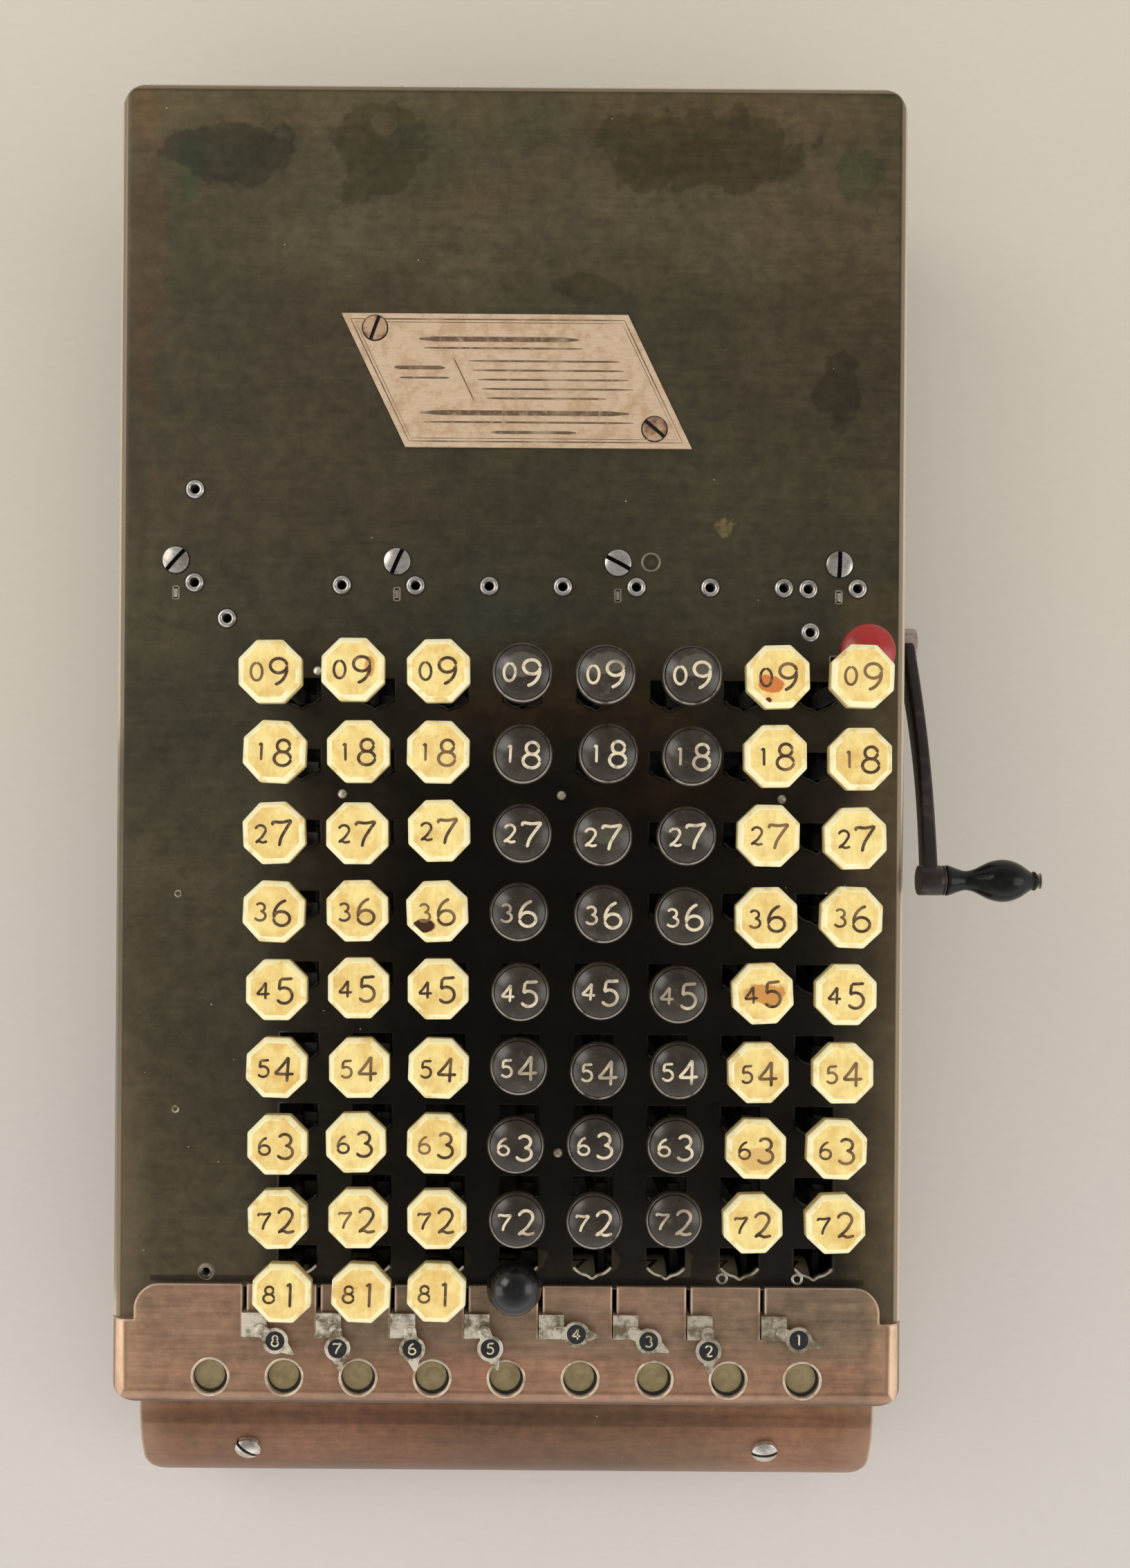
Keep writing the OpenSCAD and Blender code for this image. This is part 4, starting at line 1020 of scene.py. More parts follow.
COVER = WornBronze(
    "cover_copper", dark=(0.19, 0.115, 0.070), light=(0.31, 0.19, 0.120), ruddy=(0.39, 0.195, 0.13),
    green=(0.18, 0.14, 0.088), copper=(0.52, 0.34, 0.22), gleam=(0.82, 0.64, 0.47), taupe=(0.86, 0.60, 0.40),
    highlight_share=0.8, along=0.1, bend=(0.42, 0.95, 0.99), shade_band=0.8, dull=NO_PATCH, metal=0.5, edge=0.0012,
    streaks=0.45,
    bands=(
        (30.0, 24.0, 68.0, 6.0, 9.0, 0.8, (0.82, 0.98, 0.99)),
        (58.0, 10.0, 40.0, 14.0, 16.0, 0.6, (1.20, 1.18, 1.20)),
        (0.0, 6.0, 90.0, 3.0, 4.0, 0.6, (1.32, 1.18, 1.12)),
        # A painted shadow line along the front edge.
        (0.0, -1.5, 110.0, 1.2, 1.5, 0.7, (0.50, 0.42, 0.36)),
        # Painted highlight bands on the two shoulders.
        (98.0, 12.0, 2.5, 20.0, 3.0, 0.7, (1.5, 1.3, 1.2)),
        (-98.0, 12.0, 2.5, 20.0, 3.0, 0.7, (1.4, 1.25, 1.15))))
TOE = WornBronze(
    "toe_copper", dark=(0.135, 0.070, 0.036), light=(0.20, 0.108, 0.058), ruddy=(0.26, 0.115, 0.065),
    green=(0.12, 0.080, 0.042), copper=(0.45, 0.28, 0.17), gleam=(0.84, 0.68, 0.52), taupe=(0.48, 0.30, 0.18),
    highlight_share=0.8, along=0.0, bend=(0.84, 0.955, 0.99), rim=0.0, dull=NO_PATCH, metal=0.45, edge=0.0012,
    streaks=0.35,
    bands=(
        (5.0, -25.0, 30.0, 20.0, 30.0, 0.6, (0.72, 0.68, 0.60)),
        (-94.0, -20.0, 8.0, 22.0, 12.0, 0.6, (1.35, 1.3, 1.25)),
        (90.0, -20.0, 12.0, 22.0, 25.0, 0.8, (1.55, 1.35, 1.3))))
NICKEL = PlainMetal("tarnished_nickel", bright=(1.0, 0.90, 0.72), tarnish=(0.23, 0.185, 0.11),
                    amount=1.0, rough=0.34, metal=0.7, fade=0.55)
RIM_NICKEL = PlainMetal("rim_nickel", bright=(0.90, 0.74, 0.56), tarnish=(0.42, 0.30, 0.19),
                        amount=0.8, rough=0.3, metal=0.75)
SCREW_STEEL = PlainMetal("screw_steel", bright=(0.82, 0.78, 0.70), tarnish=(0.36, 0.30, 0.22),
                         amount=0.7, rough=0.26)
HUB_STEEL = PlainMetal("hub_steel", bright=(0.46, 0.36, 0.32), tarnish=(0.16, 0.125, 0.10),
                       amount=0.9, rough=0.3, metal=0.6)
DULL_RIVET = PlainMetal("dull_rivet", bright=(0.30, 0.27, 0.21), tarnish=(0.05, 0.045, 0.03),
                        amount=1.0, rough=0.5, metal=0.6)
# Dark rings round screws and rivets, and crescents in the windows: painted shade.
PAINTED_SHADE = PlainMetal("painted_shade", bright=(0.018, 0.015, 0.011), tarnish=(0.01, 0.008, 0.006),
                  rough=0.6, metal=0.2)
RUSTY = PlainMetal("rusty_screw", bright=(0.50, 0.33, 0.20), tarnish=(0.17, 0.085, 0.045),
                   amount=1.0, rough=0.5, metal=0.4)
PLATE_NICKEL = PlainMetal("name_plate_nickel", bright=(0.62, 0.46, 0.31), tarnish=(0.46, 0.30, 0.17),
                          amount=0.7, rough=0.45, metal=0.35)
DARK_STEEL = PlainMetal("dark_steel", bright=(0.12, 0.115, 0.10), tarnish=(0.035, 0.03, 0.022),
                        amount=0.8, rough=0.42)
# A dark copy of the guide steel for the rows behind row 1: painted shade.
SHADED_GUIDE_STEEL = PlainMetal("guide_steel_painted_shade", bright=(0.045, 0.04, 0.03), tarnish=(0.015, 0.013, 0.009),
                         amount=1.0, rough=0.5, metal=0.7)
MILL_STEEL = PlainMetal("mill_steel", bright=(0.30, 0.29, 0.27), tarnish=(0.12, 0.10, 0.075),
                        amount=0.7, rough=0.42)
IVORY = Celluloid(
    "ivory_celluloid",
    stains=(
        (-19.6, 124.4, 2.4, 1.6, (0.045, 0.012, 0.004), 1.6),
        (59.4, 180.2, 3.0, 2.2, (0.52, 0.16, 0.03), 2.2),
        (58.4, 176.4, 0.8, 0.7, (0.10, 0.02, 0.006), 1.2),
        (60.5, 108.6, 5.2, 3.2, (0.52, 0.24, 0.05), 2.0),
        (-31.6, 183.2, 1.7, 2.6, (0.58, 0.30, 0.07), 2.0),
        (60.1, 68.5, 4.0, 3.0, (0.62, 0.40, 0.13), 2.4)))
BLACK = Celluloid(
    "black_celluloid", fresh=(0.017, 0.012, 0.007), aged=(0.037, 0.026, 0.015), pale=(0.36, 0.32, 0.27),
    dirt=(0.075, 0.055, 0.038), rough=0.32, glow=0.0, coat=0.5, dust=0.14,
    # These pale patches on the back of the black caps in rows 9 and 7 are painted soft highlights.
    stains=(
        (2.0, 184.4, 4.6, 3.2, (0.075, 0.062, 0.045), 1.8),
        (22.0, 184.6, 4.8, 3.0, (0.075, 0.062, 0.045), 1.8),
        (41.5, 184.4, 4.6, 3.2, (0.075, 0.062, 0.045), 1.8),
        (22.6, 145.8, 3.6, 2.6, (0.05, 0.045, 0.03), 1.8),
        (42.0, 146.0, 4.4, 2.6, (0.05, 0.045, 0.03), 1.8)))
BALL = Celluloid("black_ball", fresh=(0.004, 0.0035, 0.004), aged=(0.009, 0.008, 0.008),
                 pale=(0.02, 0.02, 0.02), dirt=(0.03, 0.026, 0.022), rough=0.2, glow=0.0, coat=0.3, dust=0.03)
RED = Celluloid("red_celluloid", fresh=(0.36, 0.022, 0.018), aged=(0.27, 0.018, 0.014),
                pale=(0.42, 0.06, 0.05), dirt=(0.12, 0.015, 0.012), rough=0.32, glow=0.04)
INK = Ink("digit_ink", colour=(0.045, 0.022, 0.008))
INLAY = Ink("digit_inlay", colour=(0.62, 0.54, 0.38), rubbed=(0.17, 0.13, 0.085), share=0.8)
RULES = Ink("plate_rules", colour=(0.10, 0.06, 0.03), rubbed=(0.36, 0.26, 0.16), share=0.7)
NUMBER_FIELD = Lacquer("number_field", colour=(0.62, 0.53, 0.31), marking=(0.42, 0.34, 0.18), rough=0.4)
PANE = Pane("window_pane")
DIAL = Lacquer("dial_black", colour=(0.012, 0.012, 0.013), marking=(0.03, 0.028, 0.025), rough=0.3)
HANDLE = Lacquer("handle_black", colour=(0.004, 0.005, 0.003), marking=(0.012, 0.012, 0.008),
                 rough=0.16, coat=0.0, level=0.3)
IRON = Lacquer("browned_iron", colour=(0.030, 0.021, 0.017), marking=(0.085, 0.055, 0.042),
               rough=0.36, metal=0.5, peel=0.00012)
BASE = Lacquer("base_enamel", colour=(0.035, 0.028, 0.022), marking=(0.07, 0.055, 0.04), rough=0.4)
PAPER = Paper("pale_paper")


def glyph(digit: int) -> list[np.ndarray]:
    """Strokes of an engraved digit, one high and about two thirds as wide, about x = 0.

    Args:
        digit: The digit, 0 to 9.

    Returns:
        The strokes, each a path of points.
    """
    if digit == 9:
        return [-s for s in glyph(6)]
    if digit == 0:
        return [arc((0, 0), 0.30, 0.46, 90, 450, 30)]
    if digit == 1:
        return [curve([(-0.13, 0.36), (-0.04, 0.40), (0.02, 0.47)], 8),
                curve([(0.02, 0.47), (0.02, 0.0), (0.02, -0.47)], 10)]
    if digit == 2:
        bow = arc((0, 0.22), 0.27, 0.25, 168, -30, 18)
        return [np.vstack([bow, curve([bow[-1], (0.02, -0.2), (-0.30, -0.44)], 8)[1:]]),
                curve([(-0.30, -0.44), (-0.12, -0.38), (0.08, -0.45), (0.34, -0.40)], 12)]
    if digit == 3:
        return [arc((-0.02, 0.24), 0.24, 0.22, 155, -88, 16), arc((-0.02, -0.22), 0.30, 0.25, 88, -155, 20)]
    if digit == 4:
        return [curve([(0.14, 0.47), (-0.10, 0.12), (-0.36, -0.18)], 10),
                curve([(-0.36, -0.18), (0, -0.18), (0.36, -0.16)], 8),
                curve([(0.14, 0.47), (0.12, 0), (0.11, -0.47)], 10)]
    if digit == 5:
        bow = arc((-0.02, -0.17), 0.30, 0.29, 128, -150, 20)
        return [curve([(-0.16, 0.44), (0.06, 0.45), (0.30, 0.47)], 6),
                np.vstack([curve([(-0.16, 0.44), (-0.19, 0.25), bow[0]], 6)[:-1], bow])]
    if digit == 6:
        return [arc((0.26, -0.14), 0.56, 0.62, 102, 178, 14), arc((0, -0.21), 0.30, 0.26, 180, 540, 28)]
    if digit == 7:
        return [curve([(-0.36, 0.30), (-0.30, 0.42), (0.0, 0.40), (0.36, 0.46)], 12),
                curve([(0.36, 0.46), (0.12, 0.12), (-0.06, -0.18), (-0.14, -0.47)], 14)]
    return [arc((0.01, 0.24), 0.23, 0.22, 0, 360, 24), arc((-0.01, -0.22), 0.30, 0.25, 0, 360, 28)]


@dataclass
class Keyboard:
    """Key caps with engraved digits on flat steel stems, eight columns in nine rows."""

    cap_h: float = 5.0
    octagon: float = 7.15
    corner_r: float = 0.9
    ball_r: float = 6.8
    dome_r: float = 12.24
    stem_w: float = 4.0
    stem_t: float = 1.6
    stem_low_z: float = 34.0
    foot_z: float = 72.0
    digit_turn: float = 0.00735606
    ball_squash: float = 0.88
    digit_high: float = 6.3
    digit_small: float = 4.3
    digit_x: float = 2.1
    small_x: float = -2.9
    digit_y: float = -0.2
    line_w: float = 0.72
    small_line_w: float = 0.84 * 0.72
    seed: int = 11
    row_dx: tuple[float, ...] = (-0.45, -0.5, -0.55, -0.1, -0.3, -0.15, -0.05, 0.5, 0.1)
    row_dy: tuple[float, ...] = (-1.1, -0.6, -0.2, 0.1, 0.6, 0.65, 0.75, 0.6, 0.7)
    column_dx: tuple[float, ...] = (-0.3, -0.2, -0.4, -0.3, -0.2, -0.05, 0.05, 0.8)
    column_dy: tuple[float, ...] = (0.05, 0.35, 0.3, 0.15, 0.0, -0.2, -0.35, -0.35)

    def __post_init__(self) -> None:
        """Draws each cap's small errors of place and turn."""
        rng = np.random.default_rng(self.seed)
        shape = (PLACE.columns + 1, PLACE.rows + 1)
        self.shift = rng.normal(0, 0.25, (*shape, 2)).clip(-0.5, 0.5)
        self.shift[1:, 1:, 0] += np.add.outer(self.column_dx, self.row_dx)
        self.shift[1:, 1:, 1] += np.add.outer(self.column_dy, self.row_dy)
        self.turn = rng.normal(0, 1.6, shape).clip(-3.5, 3.5)
        self.tone = rng.uniform(0.0, 1.0, shape)

    def top(self, kind: CapKind, r: np.ndarray) -> np.ndarray:
        """Height of a cap's face below its top at radius r: a shallow dish, a dome or a ball."""
        if kind is CapKind.IVORY:
            return 0.10 * (r / 6.0) ** 2 - 0.12
        if kind is CapKind.BLACK:
            return np.sqrt(np.maximum(self.dome_r**2 - r**2, 0)) - self.dome_r
        high = np.sqrt(np.maximum(self.ball_r**2 - r**2, 0.0)) * self.ball_squash
        return high - self.ball_r * self.ball_squash

    def face(self, kind: CapKind, radii: Sequence[float]) -> list[tuple[float, float]]:
        """Profile of a cap's face: its height at each of the radii."""
        return [(r, float(self.top(kind, np.array(r)))) for r in radii]

    def add_cap(self, shape: Shape, k: int, n: int) -> None:
        """Adds one cap: an outline carried through the levels of its side, its bevel and its face.

        Args:
            shape: The shape that it joins.
            k: Its column.
            n: Its row.
        """
        kind = PLACE.cap_kind(k, n)
        at = self.middle(k, n)
        tone = self.tone[k, n]
        if kind is CapKind.IVORY:
            # The bevel's sections are marked, and the finish pales them, partly as wear and partly as a
            # painted highlight.
            levels = [(6.5, -self.cap_h), (6.9, -4.9), (7.13, -4.6), (7.15, -4.3), (7.15, -1.3, 0.6),
                      (7.12, -1.1, 1.0), (7.0, -0.92, 1.0), (6.1, -0.12, 1.0), (5.95, -0.03, 1.0),
                      (5.85, -0.02, 0.0), *self.face(kind, (5.6, 4.6, 3.4, 2.0, 0.6))]
            outline = turned_by(rounded_outline(8, self.octagon, self.corner_r), self.turn[k, n])
            shape.lofted(outline / self.octagon, levels, at, tone)
        elif kind is CapKind.BLACK:
            profile = [(6.3, -self.cap_h), (6.8, -4.9), (6.98, -4.6), (7.0, -4.2), (7.0, -3.1), (6.96, -2.85),
                       (6.84, -2.6), (6.66, -2.36), (6.5, -2.22), (6.38, -2.17), (6.26, -2.2), (6.18, -2.24),
                       *self.face(kind, (6.05, 5.7, 5.2, 4.4, 3.4, 2.2, 1.0, 0.2))]
            # The thin marked ring at radius 6.5 is a painted highlight, strongest towards the operator.
            radius = np.array(profile)[:, 0]
            shape.turned(profile, at, tone=tone, marking=np.exp(-((radius - 6.5) / 0.16) ** 2))
        else:
            profile = [(4.6, -7.0), (5.9, -6.95), (6.5, -6.75), (6.78, -6.3),
                       *self.face(kind, (6.79, 6.7, 6.4, 5.9, 5.2, 4.2, 3.0, 1.6, 0.3))]
            shape.turned(profile, at, tone=tone)

    def middle(self, k: int, n: int) -> np.ndarray:
        """Middle of a cap's top."""
        x, y = self.shift[k, n]
        return np.array([PLACE.key_x(k) + x, PLACE.row_y(n) + y, PLACE.key_top(n)])

    def add_digits(self, shape: Shape, k: int, n: int) -> None:
        """Adds a key's two digits as ribbons that lie on its face, the small one at the left.

        Args:
            shape: The shape that they join.
            k: The key's column.
            n: Its row.
        """
        kind = PLACE.cap_kind(k, n)
        at = self.middle(k, n)

        def put(u: np.ndarray, v: np.ndarray, h: np.ndarray) -> np.ndarray:
            """Points on the turned cap's face."""
            xy = turned_by(np.stack([u, v], -1), self.turn[k, n])
            z = self.top(kind, np.hypot(u, v)) + h
            return np.concatenate([xy, z[..., None]], -1) + at

        for digit, high, x, line in ((9 - n, self.digit_small, self.small_x, self.small_line_w),
                                     (n, self.digit_high, self.digit_x, self.line_w)):
            for stroke in glyph(digit):
                dense = curve(stroke * high, len(stroke) + 8)
                shape.ribbon(dense + [x, self.digit_y], line, put)

    def add_stem(self, shape: Shape, k: int, n: int) -> None:
        """Adds a flat stem with its side foot and the ferrule under its cap.

        The foot clears the lever by the press of its row: the lever turns by digit_turn a digit.

        Args:
            shape: The shape that they join.
            k: The key's column.
            n: Its row.
        """
        x, y, top = PLACE.key_x(k), PLACE.row_y(n), PLACE.key_top(n) - self.cap_h
        low = self.stem_low_z
        section = box_outline(self.stem_t, self.stem_w, 0.25)
        shape.lofted(section, [(0.8, low), (1.0, low + 0.4), (1.0, top + 1.5)], (x, y, 0))
        ferrule = [(1.2, -1.9), (2.3, -1.8), (2.6, -1.5), (2.6, -0.9), (3.1, -0.6), (3.2, 0.0), (2.5, 0.2)]
        shape.turned(ferrule, (x, y, top), segments=28)
        stroke = (PLACE.lever_y - PLACE.row_y(n)) * n * self.digit_turn
        foot = self.foot_z + (0.3 if n == PLACE.rows else stroke + 0.4)
        plate = box_outline(4.0, self.stem_w, 0.3)
        levels = [(0.9, foot), (1.0, foot + 0.2), (1.0, foot + 2.0), (0.9, foot + 2.2)]
        shape.lofted(plate, levels, (x + 2.25, y, 0))

    def build(self) -> None:
        """Builds the rows one to eight as rows, and the keys of nine one by one."""
        for n in range(1, PLACE.rows + 1):
            groups = [[k] for k in PLACE.columns_of(n)] if n == PLACE.rows else [PLACE.columns_of(n)]
            for group in groups:
                body = f"key_9_column_{group[0]}" if n == PLACE.rows else f"key_row_{n}"
                stems = Shape()
                for k in group:
                    self.add_stem(stems, k, n)
                stems.build(f"{body}_stems", body, DARK_STEEL, "keys", [body])
                for pale, cap_finish, digit_finish in ((True, IVORY, INK), (False, BLACK, INLAY)):
                    own = [k for k in group if (PLACE.cap_kind(k, n) is CapKind.IVORY) == pale]
                    if own:
                        self.build_group(body, own, n, cap_finish, digit_finish)

    def build_group(self, body: str, own: list[int], n: int, cap_finish: Finish,
                    digit_finish: Finish) -> None:
        """Builds the caps and digits of one kind on one body.

        Args:
            body: The body that they ride on.
            own: Their columns.
            n: Their row.
            cap_finish: Finish of the caps.
            digit_finish: Finish of the digits.
        """
        slot = "keys" if cap_finish is IVORY or n < PLACE.rows else "black_keys"
        caps, digits = Shape(), Shape()
        for k in own:
            self.add_cap(caps, k, n)
            if PLACE.cap_kind(k, n) is not CapKind.BALL:
                self.add_digits(digits, k, n)
        word = "ivory" if cap_finish is IVORY else "black"
        if PLACE.cap_kind(own[0], n) is CapKind.BALL:
            cap_finish = BALL
        caps.build(f"{body}_{word}_caps", body, cap_finish, slot, [body])
        if digits.count:
            digits.build(f"{body}_{word}_digits", body, digit_finish, slot)


@dataclass
class NumberWheels:
    """Enamelled number bands with their digits, round the nine wheels."""

    band_w: float = 8.6
    band_t: float = 0.12
    zero_turn: float = 38.5
    digit_h: float = 6.2
    line_w: float = 0.95

    def build(self) -> None:
        """Builds a band and ten digits for each wheel."""
        for i in range(PLACE.columns + 1):
            body = f"number_wheel_{i}"
            dress(body, MILL_STEEL)
            x = PLACE.window_x(i)
            low, high, half = PLACE.wheel_r - 0.5, PLACE.wheel_r + self.band_t, self.band_w / 2
            band = Shape()
            loop = [(low, -half), (high - 0.05, -half), (high, -half + 0.1), (high, half - 0.1),
                    (high - 0.05, half), (low, half)]
            band.turned(loop, (x, PLACE.wheel_y, PLACE.wheel_z), Axis.X, 120, ring=True)
            band.build(f"{body}_band", body, NUMBER_FIELD, "wheels")
            digits = Shape()
            for digit in range(10):
                self.add_digit(digits, x, digit, high)
            digits.build(f"{body}_digits", body, INK, "wheels")

    def add_digit(self, shape: Shape, x: float, digit: int, r: float) -> None:
        """Adds a digit to a band: a height v on the band turns it by v / r about the shaft.

        Args:
            shape: The shape that it joins.
            x: Middle of the wheel.
            digit: The digit.
            r: Radius of the band.
        """
        start = np.radians(self.zero_turn + 36.0 * digit)

        def put(u: np.ndarray, v: np.ndarray, h: np.ndarray) -> np.ndarray:
            """Points on the band."""
            a, out = start - v / r, r + h
            return np.stack([x + u, PLACE.wheel_y - out * np.sin(a), PLACE.wheel_z + out * np.cos(a)], -1)

        for stroke in glyph(digit):
            shape.ribbon(curve(stroke * self.digit_h, len(stroke) + 8), self.line_w, put)


@dataclass
class CutoffLevers:
    """Thumb tabs with swinging pointers, each with a numbered black dial."""

    slit_left: float = 10.35
    pointer_x: float = 4.7
    pivot_y: float = 19.2
    arm: float = 4.5
    low_z: float = 90.3
    thick: float = 0.8
    dial_r: float = 2.45
    dial_drop: float = 0.12
    digit_h: float = 2.9
    line_w: float = 0.4
    turns: tuple[float, ...] = (-36, -83, -82, -70, -5, -28, -87, -19)

    def build(self) -> None:
        """Dresses the levers and pointers and builds the dials."""
        for k in range(1, PLACE.columns + 1):
            softened(f"cutoff_lever_{k}", f"cutoff_lever_{k}", NICKEL, 0.12)
            softened(f"pointer_{k}", f"pointer_{k}", NICKEL, 0.1)
            turn = self.turns[k - 1]
            way = np.radians(turn)
            x = PLACE.window_x(k) - self.slit_left + self.pointer_x + self.arm * np.cos(way)
            y = self.pivot_y + self.arm * np.sin(way)
            face = self.low_z + self.thick - self.dial_drop
            dial = Shape()
            profile = [(2.35, -0.16), (self.dial_r, -0.1), (2.38, -0.02), (2.2, 0.0), (0.2, 0.0)]
            dial.turned(profile, (x, y, face), segments=40)
            dial.build(f"pointer_{k}_dial", f"pointer_{k}", DIAL, "nickel")
            digit = Shape()

            def put(u: np.ndarray, v: np.ndarray, h: np.ndarray) -> np.ndarray:
                """Points on the dial, upright for the operator."""
                return np.stack([x + u, y + v, face + h], -1)

            for stroke in glyph(PLACE.columns + 1 - k):
                digit.ribbon(curve(stroke * self.digit_h, len(stroke) + 8), self.line_w, put)
            digit.build(f"pointer_{k}_digit", f"pointer_{k}", INLAY, "nickel")


@dataclass
class Trim:
    """Screws, ring rivets, window rims, studs and the guides at the key holes."""

    screw_xs: tuple[float, ...] = (-86.9, -29.7, 27.4, 84.6)
    screw_turns: tuple[float, ...] = (48, 66, -28, 88)
    screw_y: float = 217.0
    notch_gap: float = 8.4
    rivet_y: float = 210.8
    dull_below: float = 40.0
    rivet_left: float = 44.0
    extra: tuple[tuple[float, float], ...] = ((-82.1, 211.2), (76.6, 210.6), (-82.1, 235.3), (-73.6, 202),
                                              (77.2, 199.4), (-77.8, 33.1))
    studs: tuple[tuple[float, float], ...] = ((-43.4, 156.8), (13.2, 156.8), (70.1, 156.2), (-50, 188.5),
                                              (13, 64.4))
    pins: tuple[tuple[float, float], ...] = ((-85.7, 130.7), (-86, 75))
    small_rings: tuple[tuple[float, float], ...] = ((55.6, 32.1), (75.0, 32.1))
    rivet_size: RingSize = (1.12, 2.45, 0.75, 2.4)
    # A ring of painted shade round each rivet.
    rivet_shade_ring: RingSize = (2.3, 2.75, 0.03, 0.1)
    dull_size: RingSize = (0.95, 2.0, 0.25, 2.4)
    # A ring of painted shade round each screw.
    screw_shade_ring: RingSize = (3.2, 3.75, 0.03, 0.1)
    small_size: RingSize = (0.8, 1.6, 0.4, 0.1)
    rim_size: RingSize = (4.36, 5.08, 0.38, 1.2)
    pin_size: RingSize = (0.5, 1.0, 0.2, 0.1)
    plate_screw: ScrewSize = (3.38, 1.05, 1.1)
    toe_screw: ScrewSize = (3.6, 2.5, 1.05)
    pane_z: float = -1.35
    shade_r: float = 4.32
    shade_inner_r: float = 3.88
    shade_shift: tuple[float, float] = (-0.26, 0.32)
    shade_t: float = 0.1
    toe_lean: float = 31.5
    toe_r: float = 27.0
    toe_x: float = 72.5
    toe_axis: tuple[float, float] = (-11.0, 24.0)

    def crescent(self, shape: Shape, at: Place) -> None:
        """Adds a thin crescent of painted shade at the lower right of a pane.

        It lies between a circle and a smaller one whose middle is moved up to the left.

        Args:
            shape: The shape that it joins.
            at: Middle of the pane's face.
        """
        segments = 48
        a = np.arange(segments)[:, None] * 2 * np.pi / segments
        way = np.concatenate([np.cos(a), np.sin(a)], 1)
        outer, inner = self.shade_r * way, self.shade_inner_r * way + np.array(self.shade_shift)
        flat = np.stack([outer, inner, inner, outer], 1) + np.array(at[:2])
        level = self.shade_t / 2 * np.array([1, 1, -1, -1])
        high = np.broadcast_to(level[:, None] + at[2], (segments, 4, 1))
        shape.surface(np.concatenate([flat, high], -1), ring=True)

    def build(self) -> None:
        """Builds all the trim."""
        self.build_rings()
        self.build_windows()
        self.build_plate_screws()
        self.build_toe_screws()
        self.build_studs()
        self.build_guides()

    def build_rings(self) -> None:
        """Builds the ring rivets, the dull one at the front and the rings of painted shade round rivets and
        screws.
        """
        z = PLACE.plate_z
        places = [(i * PLACE.pitch - self.rivet_left, self.rivet_y) for i in range(PLACE.columns)]
        rivets, shade_rings, dull = Shape(), Shape(), Shape()
        for x, y in [*places, *self.extra]:
            if y < self.dull_below:
                add_ring(dull, (x, y, z), self.dull_size)
                continue
            add_ring(rivets, (x, y, z), self.rivet_size)
            # A ring of painted shade round the rivet.
            add_ring(shade_rings, (x, y, z), self.rivet_shade_ring)
        dull.build("front_rivet", HOUSING, DULL_RIVET, "fasteners")
        for x in self.screw_xs:
            # A ring of painted shade round the screw.
            add_ring(shade_rings, (x, self.screw_y, z), self.screw_shade_ring)
        shade_rings.build("screw_shade_rings", HOUSING, PAINTED_SHADE, "fasteners")
        for x, y in self.small_rings:
            add_ring(rivets, (x, y, z), self.small_size)
        rivets.build("ring_rivets", HOUSING, SCREW_STEEL, "fasteners", ["screws_and_rivets"])

    def build_plate_screws(self) -> None:
        """Builds the four screws of the plate, each with a small key in the notch in front of it."""
        z = PLACE.plate_z
        screws = Shape()
        for x, turn in zip(self.screw_xs, self.screw_turns):
            add_screw(screws, self.plate_screw, turn, lambda p, at=(x, self.screw_y, z): p + np.array(at))
            screws.lofted(box_outline(0.95, 2.2, 0.2), [(0.8, -1.6), (1.0, -1.4), (1.0, 0.05), (0.85, 0.2)],
                          (x, self.screw_y - self.notch_gap, z))
        screws.build("plate_screws", HOUSING, SCREW_STEEL, "fasteners")

    def build_studs(self) -> None:
        """Builds the round studs, the pins and the plug on the plate."""
        z = PLACE.plate_z
        studs, plug = Shape(), Shape()
        stud = [(1.2, -0.3), (1.25, 0.0), (1.15, 0.4), (0.85, 0.75), (0.4, 0.92), (0.05, 0.95)]
        for x, y in self.studs:
            studs.turned(stud, (x, y, z), segments=24)
        for x, y in self.pins:
            add_ring(studs, (x, y, z), self.pin_size)
        studs.build("plate_studs", HOUSING, NICKEL, "fasteners")
        plug.turned([(2.5, -0.3), (2.5, 0.0), (2.38, 0.05), (0.2, 0.06)], (35.9, 217.3, z), segments=36)
        plug.build("plate_plug", HOUSING, PLATE, "fasteners")

    def build_windows(self) -> None:
        """Builds the rims, the panes and the crescents of painted shade in the number windows."""
        rims, panes, shades = Shape(), Shape(), Shape()
        profile = [(4.2, -1.97), (4.33, -1.92), (4.33, -1.46), (4.2, -1.4), (2.4, -1.36), (0.2, self.pane_z)]
        for i in range(PLACE.columns + 1):
            x, y, z = PLACE.window_x(i), PLACE.window_y, PLACE.cover_z
            add_ring(rims, (x, y, z), self.rim_size)
            panes.turned(profile, (x, y, z))
            self.crescent(shades, (x, y, z + self.pane_z))
        rims.build("window_rims", HOUSING, RIM_NICKEL, "fasteners")
        panes.build("window_panes", HOUSING, PANE, "fasteners")
        shades.build("window_shades", HOUSING, PAINTED_SHADE, "fasteners")

    def build_toe_screws(self) -> None:
        """Builds the two bright screws that lean with the toe's curve."""
        lean = np.radians(self.toe_lean)
        axis_y, axis_z = self.toe_axis
        shape = Shape()
        for side, turn in ((-1, -40), (1, 4)):
            def put(p: np.ndarray, x: float = side * self.toe_x) -> np.ndarray:
                """Points on the toe, turned about X by its lean."""
                y = p[..., 1] * np.cos(lean) - (p[..., 2] + self.toe_r) * np.sin(lean)
                z = p[..., 1] * np.sin(lean) + (p[..., 2] + self.toe_r) * np.cos(lean)
                return np.stack([p[..., 0] + x, y + axis_y, z + axis_z], -1)

            add_screw(shape, self.toe_screw, turn, put)
        shape.build("toe_screws", HOUSING, SCREW_STEEL, "fasteners")

